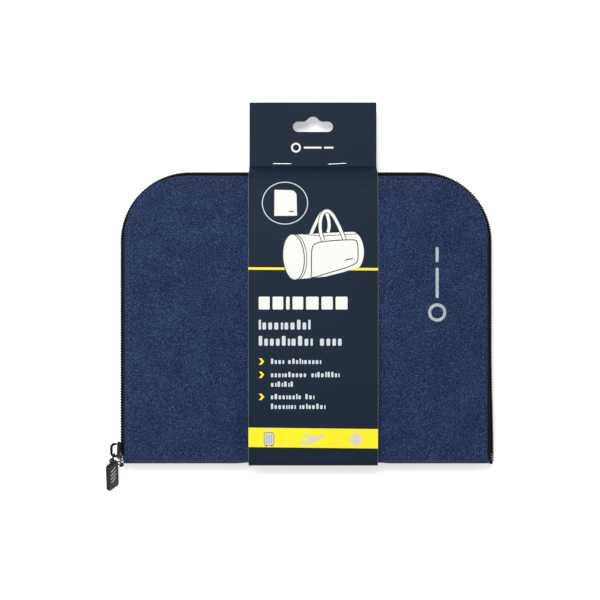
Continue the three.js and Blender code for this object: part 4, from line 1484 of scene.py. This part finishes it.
def add_binding(name, side, body, node):
    """Folded grosgrain over the seam's raw edges, with its row of stitches."""
    outer, inner, base = 3.7, 9.2, 9.3

    def softened(value, power):
        return math.copysign(abs(value) ** power, value)

    rows = []
    for a in np.linspace(0, 2 * math.pi, 16, endpoint=False):
        inset = (outer + inner) / 2 - (inner - outer) / 2 * softened(math.cos(a), 0.5)
        height = MID_Z + side * (base - 0.45 - 0.55 * softened(math.sin(a), 0.7))
        rows.append(zip_line(FOOT + 3.0, 2.0, inset, height)[0])
    piece = facing_out(grid_object(name, np.stack(rows), binding_weave, close_rows=True), close=True)
    fitted(piece, body, replaces=[node])
    seam_arch = Arch(HALF - 8.0, HEAD - 8.0, FOOT + 5, COIL_CORNER - 8.0)
    seam = arch_line_on(flat_surface(MID_Z + side * (base - 1.0)), seam_arch, -side)
    add_stitches(f"binding_{name[-5:]}", [seam], body, thread_dark, 3.4, 2.4, 0.5, 0.0)


add_lining("lining_cover", front_lining_height, "cover", "front_lining")
add_lining("lining_back", back_lining_height, "pouch_back", "back_lining")
add_binding("binding_front", 1, "cover", "front_binding")
add_binding("binding_inner_rear", -1, "pouch_back", "rear_binding")
upper_lining = add_spine_lining("lining_spine_upper", 1)
add_spine_lining("lining_spine_lower", -1)
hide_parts("spine_lining")


# ------------------------------------------------------------------ the bag folded inside


def folded_layer(name, arch, node, seed, wrinkle, material=ripstop, left=-math.inf, right=math.inf):
    """One folded thickness: soft round folds at its edges and shallow creases on its upper face."""
    low, high = box_mm(node)
    middle, half = (low[2] + high[2]) / 2, (high[2] - low[2]) / 2
    waves = noise_field(seed, 26, 60, 9)
    long_waves = noise_field(seed + 50, 8, 160, 60)
    u = spaced(-1.0, 1.0, 0.25 / arch.half, 2.6 / arch.half, 5 / arch.half)
    tops, bottoms = [], []
    for y in spaced(arch.foot, arch.head, 0.25, 2.6, 5)[::-1]:
        width = arch.width_at(y)
        start, end = max(left, -width), min(right, width)
        x = start + (u + 1) / 2 * (end - start)
        edges = [arch.inset(x, y), x - left, right - x, np.full(len(x), y - arch.foot)]
        inset = np.maximum(np.min(edges, axis=0), 0)
        thick = half * np.sqrt(np.maximum(1 - (1 - np.clip(inset / (half * 1.15), 0, 1)) ** 2, 0))
        crease = wrinkle * (waves(x, y) + 0.5 * long_waves(x, y)) * smooth(inset / 10)
        tops.append(row(x, y, middle + thick + np.minimum(crease, 0.25)))
        bottoms.append(row(x, y, middle - thick))
    count = len(tops) * len(u)
    quads = grid_faces(len(tops), len(u))
    faces = [quad[::-1] for quad in quads] + [[i + count for i in quad] for quad in quads]
    piece = facing_out(mesh_object(name, np.vstack(tops + bottoms), faces, material), merge=True)
    return fitted(piece, "pouch_back", [node])


def bag_arch(extra):
    """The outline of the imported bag, a little smaller for each layer that lies further up."""
    return Arch(HALF - 10.5 - extra, HEAD - 10.5 - extra, FOOT + 5 + extra, 34.0)


bag_layers = [
    folded_layer("bag_fold_lower", bag_arch(0), "bag_body_lower", 31, 0.5),
    folded_layer("bag_fold_end_left", bag_arch(3), "bag_end_left", 32, 0.3, right=-2.0),
    folded_layer("bag_fold_end_right", bag_arch(3), "bag_end_right", 33, 0.3, left=2.0),
    folded_layer("bag_fold_middle", bag_arch(1), "bag_body_middle", 34, 0.5),
    folded_layer("bag_fold_upper", bag_arch(2), "bag_body_upper", 35, 0.75),
]

for name, node, corner, material, slot, seed, wrinkle in [
    ("bag_trolley_sleeve", "trolley_sleeve", 3.0, ripstop, "ripstop", 41, 0.12),
    ("bag_anchor", "bag_anchor_tape", 2.0, binding_weave, "zip_tape", 42, 0.05),
    ("bag_strap_front", "handle_front", 1.0, webbing, "webbing", 43, 0.15),
    ("bag_strap_rear", "handle_rear", 1.0, webbing, "webbing", 44, 0.15),
    ("bag_strap_wrap", "handle_wrap", 4.0, webbing, "webbing", 45, 0.10),
    ("bag_opening_tape", "bag_zip_tape", 1.0, zip_tape, "zip_tape", 46, 0.12),
    ("bag_size_label", "bag_label", 1.0, label_cloth, "label", 47, 0.03),
]:
    rectangle = Rectangle(node, corner)
    piece = folded_layer(name, rectangle, node, seed, wrinkle, material)
    for vertex in piece.data.vertices:
        vertex.co.x += rectangle.centre[0] * MM


def label_lines():
    """Three plain bars on the label."""
    low, high = box_mm("bag_label")
    x, y = (low[0] + high[0]) / 2, (low[1] + high[1]) / 2
    for k, (width, above) in enumerate([(18.0, 4.0), (22.0, 0.0), (14.0, -4.0)]):
        outline = placed(rounded_outline(width, 1.3, 0.5, 3), x, y + above)
        film(f"bag_label_line_{k}", [outline], flat_surface(high[2]), 0.06, ink_line, "pouch_back", fine=8)


def bag_zip():
    """The bag's own zip: two rows of teeth on the folded tape, with a slider."""
    low, high = box_mm("bag_zip_tape")
    middle_y, z = (low[1] + high[1]) / 2, high[2]
    length, pitch = high[0] - low[0] - 8, 1.9
    rows = []
    for side, phase in ((1, 0.0), (-1, math.pi)):
        s = np.linspace(0, length, int(length / pitch * 8))
        angle = 2 * math.pi * s / pitch + phase
        y = middle_y + side * (1.1 + 1.1 * np.sin(angle))
        rows.append(tube(row(s - length / 2, y, z + 0.3 + 0.28 * np.cos(angle)), 0.3, 6))
    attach(mesh_object("bag_zip_teeth", *combine(rows), zip_coil), "pouch_back")
    low, high = box_mm("bag_zip_slider")
    x, y, _ = (low + high) / 2
    outline = placed(rounded_outline(8.8, 6.8, 2.2, 6), x, y)
    body = slab("bag_zip_slider_body", outline, low[2], high[2] - 0.1, black_metal)
    fitted(bevel(body, 0.35), "pouch_back", ["bag_zip_slider"])
    tag = placed(rounded_outline(14.0, 4.2, 1.4, 5), x - 9.5, y + 1.2, math.radians(8))
    # the bag's pull takes the same rubber, painted lighter as a painted highlight
    pull = slab("bag_zip_pull", tag, z + 0.7, z + 1.5, pull_rubber)
    fitted(bevel(pull, 0.3), "pouch_back")


label_lines()
bag_zip()
for name, node, thread, inset, end, pitch, length in [
    ("strap_front", "handle_front", thread_dark, 2.5, 3, 3.4, 2.4),
    ("strap_rear", "handle_rear", thread_dark, 2.5, 3, 3.4, 2.4),
    ("wrap", "handle_wrap", thread_light, 3.5, 5, 3.2, 2.3),
]:
    low, high = box_mm(node)
    face = flat_surface(high[2] - 0.02)
    x0, x1 = low[0] + end, high[0] - end
    lines = [straight_line_on(face, y, x0, x1, 1) for y in (low[1] + inset, high[1] - inset)]
    add_stitches(name, lines, "pouch_back", thread, pitch, length, 0.45, 0.0)


# ------------------------------------------------------------------ floor, light and camera


def add_floor():
    """A white floor that glows a little, so that it renders as plain white."""
    n = Nodes("floor_white")
    color = n.ramp(n.noise(60.0, 2.0, 0.5), (0.3, (0.90, 0.90, 0.90)), (0.7, (0.92, 0.92, 0.92)))
    n.shader.inputs["Emission Color"].default_value = (1, 1, 1, 1)
    n.shader.inputs["Emission Strength"].default_value = 0.34
    material = n.set(color=color, roughness=0.85, specular=0.2)
    reach, z = 4000, -0.05
    corners = [(-reach, -reach, z), (reach, -reach, z), (reach, reach, z), (-reach, reach, z)]
    mesh_object("floor", corners, [[0, 1, 2, 3]], material, smooth_faces=False)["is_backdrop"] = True


def add_world():
    """White light from all round, brightest at the horizon."""
    world = bpy.data.worlds.new("studio")
    world.use_nodes = True
    nodes, links = world.node_tree.nodes, world.node_tree.links
    direction = nodes.new("ShaderNodeTexCoord")
    split = nodes.new("ShaderNodeSeparateXYZ")
    dim = nodes.new("ShaderNodeMapRange")
    at_horizon, high_up = 0.98, 0.45
    for key, value in {"From Min": 0.0, "From Max": 0.35, "To Min": at_horizon, "To Max": high_up}.items():
        dim.inputs[key].default_value = value
    nodes["Background"].inputs["Color"].default_value = (1, 1, 1, 1)
    links.new(direction.outputs["Generated"], split.inputs["Vector"])
    links.new(split.outputs["Z"], dim.inputs["Value"])
    links.new(dim.outputs["Result"], nodes["Background"].inputs["Strength"])
    bpy.context.scene.world = world


def area_light(name, place, size, power):
    """A rectangular lamp that points at the origin."""
    data = bpy.data.lights.new(name, "AREA")
    data.shape = "RECTANGLE"
    data.size, data.size_y = metres(*size)
    data.energy = power
    light = bpy.data.objects.new(name, data)
    light.location = Vector(place) * MM
    light.rotation_mode = "QUATERNION"
    light.rotation_quaternion = (-Vector(place)).to_track_quat("-Z", "Y")
    bpy.context.scene.collection.objects.link(light)


def add_camera():
    """A camera straight above, with the whole picture's width at the zip's height."""
    rise, view_width, sensor = 700.0, 403.6, 36.0
    data = bpy.data.cameras.new("camera")
    data.sensor_width = sensor
    data.lens = sensor * rise / view_width
    data.clip_start, data.clip_end = 0.01, 20
    camera = bpy.data.objects.new("camera", data)
    camera.location = metres(-4.1, 11.8, MID_Z + rise)
    bpy.context.scene.collection.objects.link(camera)
    bpy.context.scene.camera = camera


add_floor()
add_world()
area_light("key", (-120, 390, 1100), (480, 340), 9.6)
area_light("fill", (-620, -200, 900), (600, 600), 2.6)
add_camera()
bpy.context.scene.view_settings.view_transform = "Standard"

low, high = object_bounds()
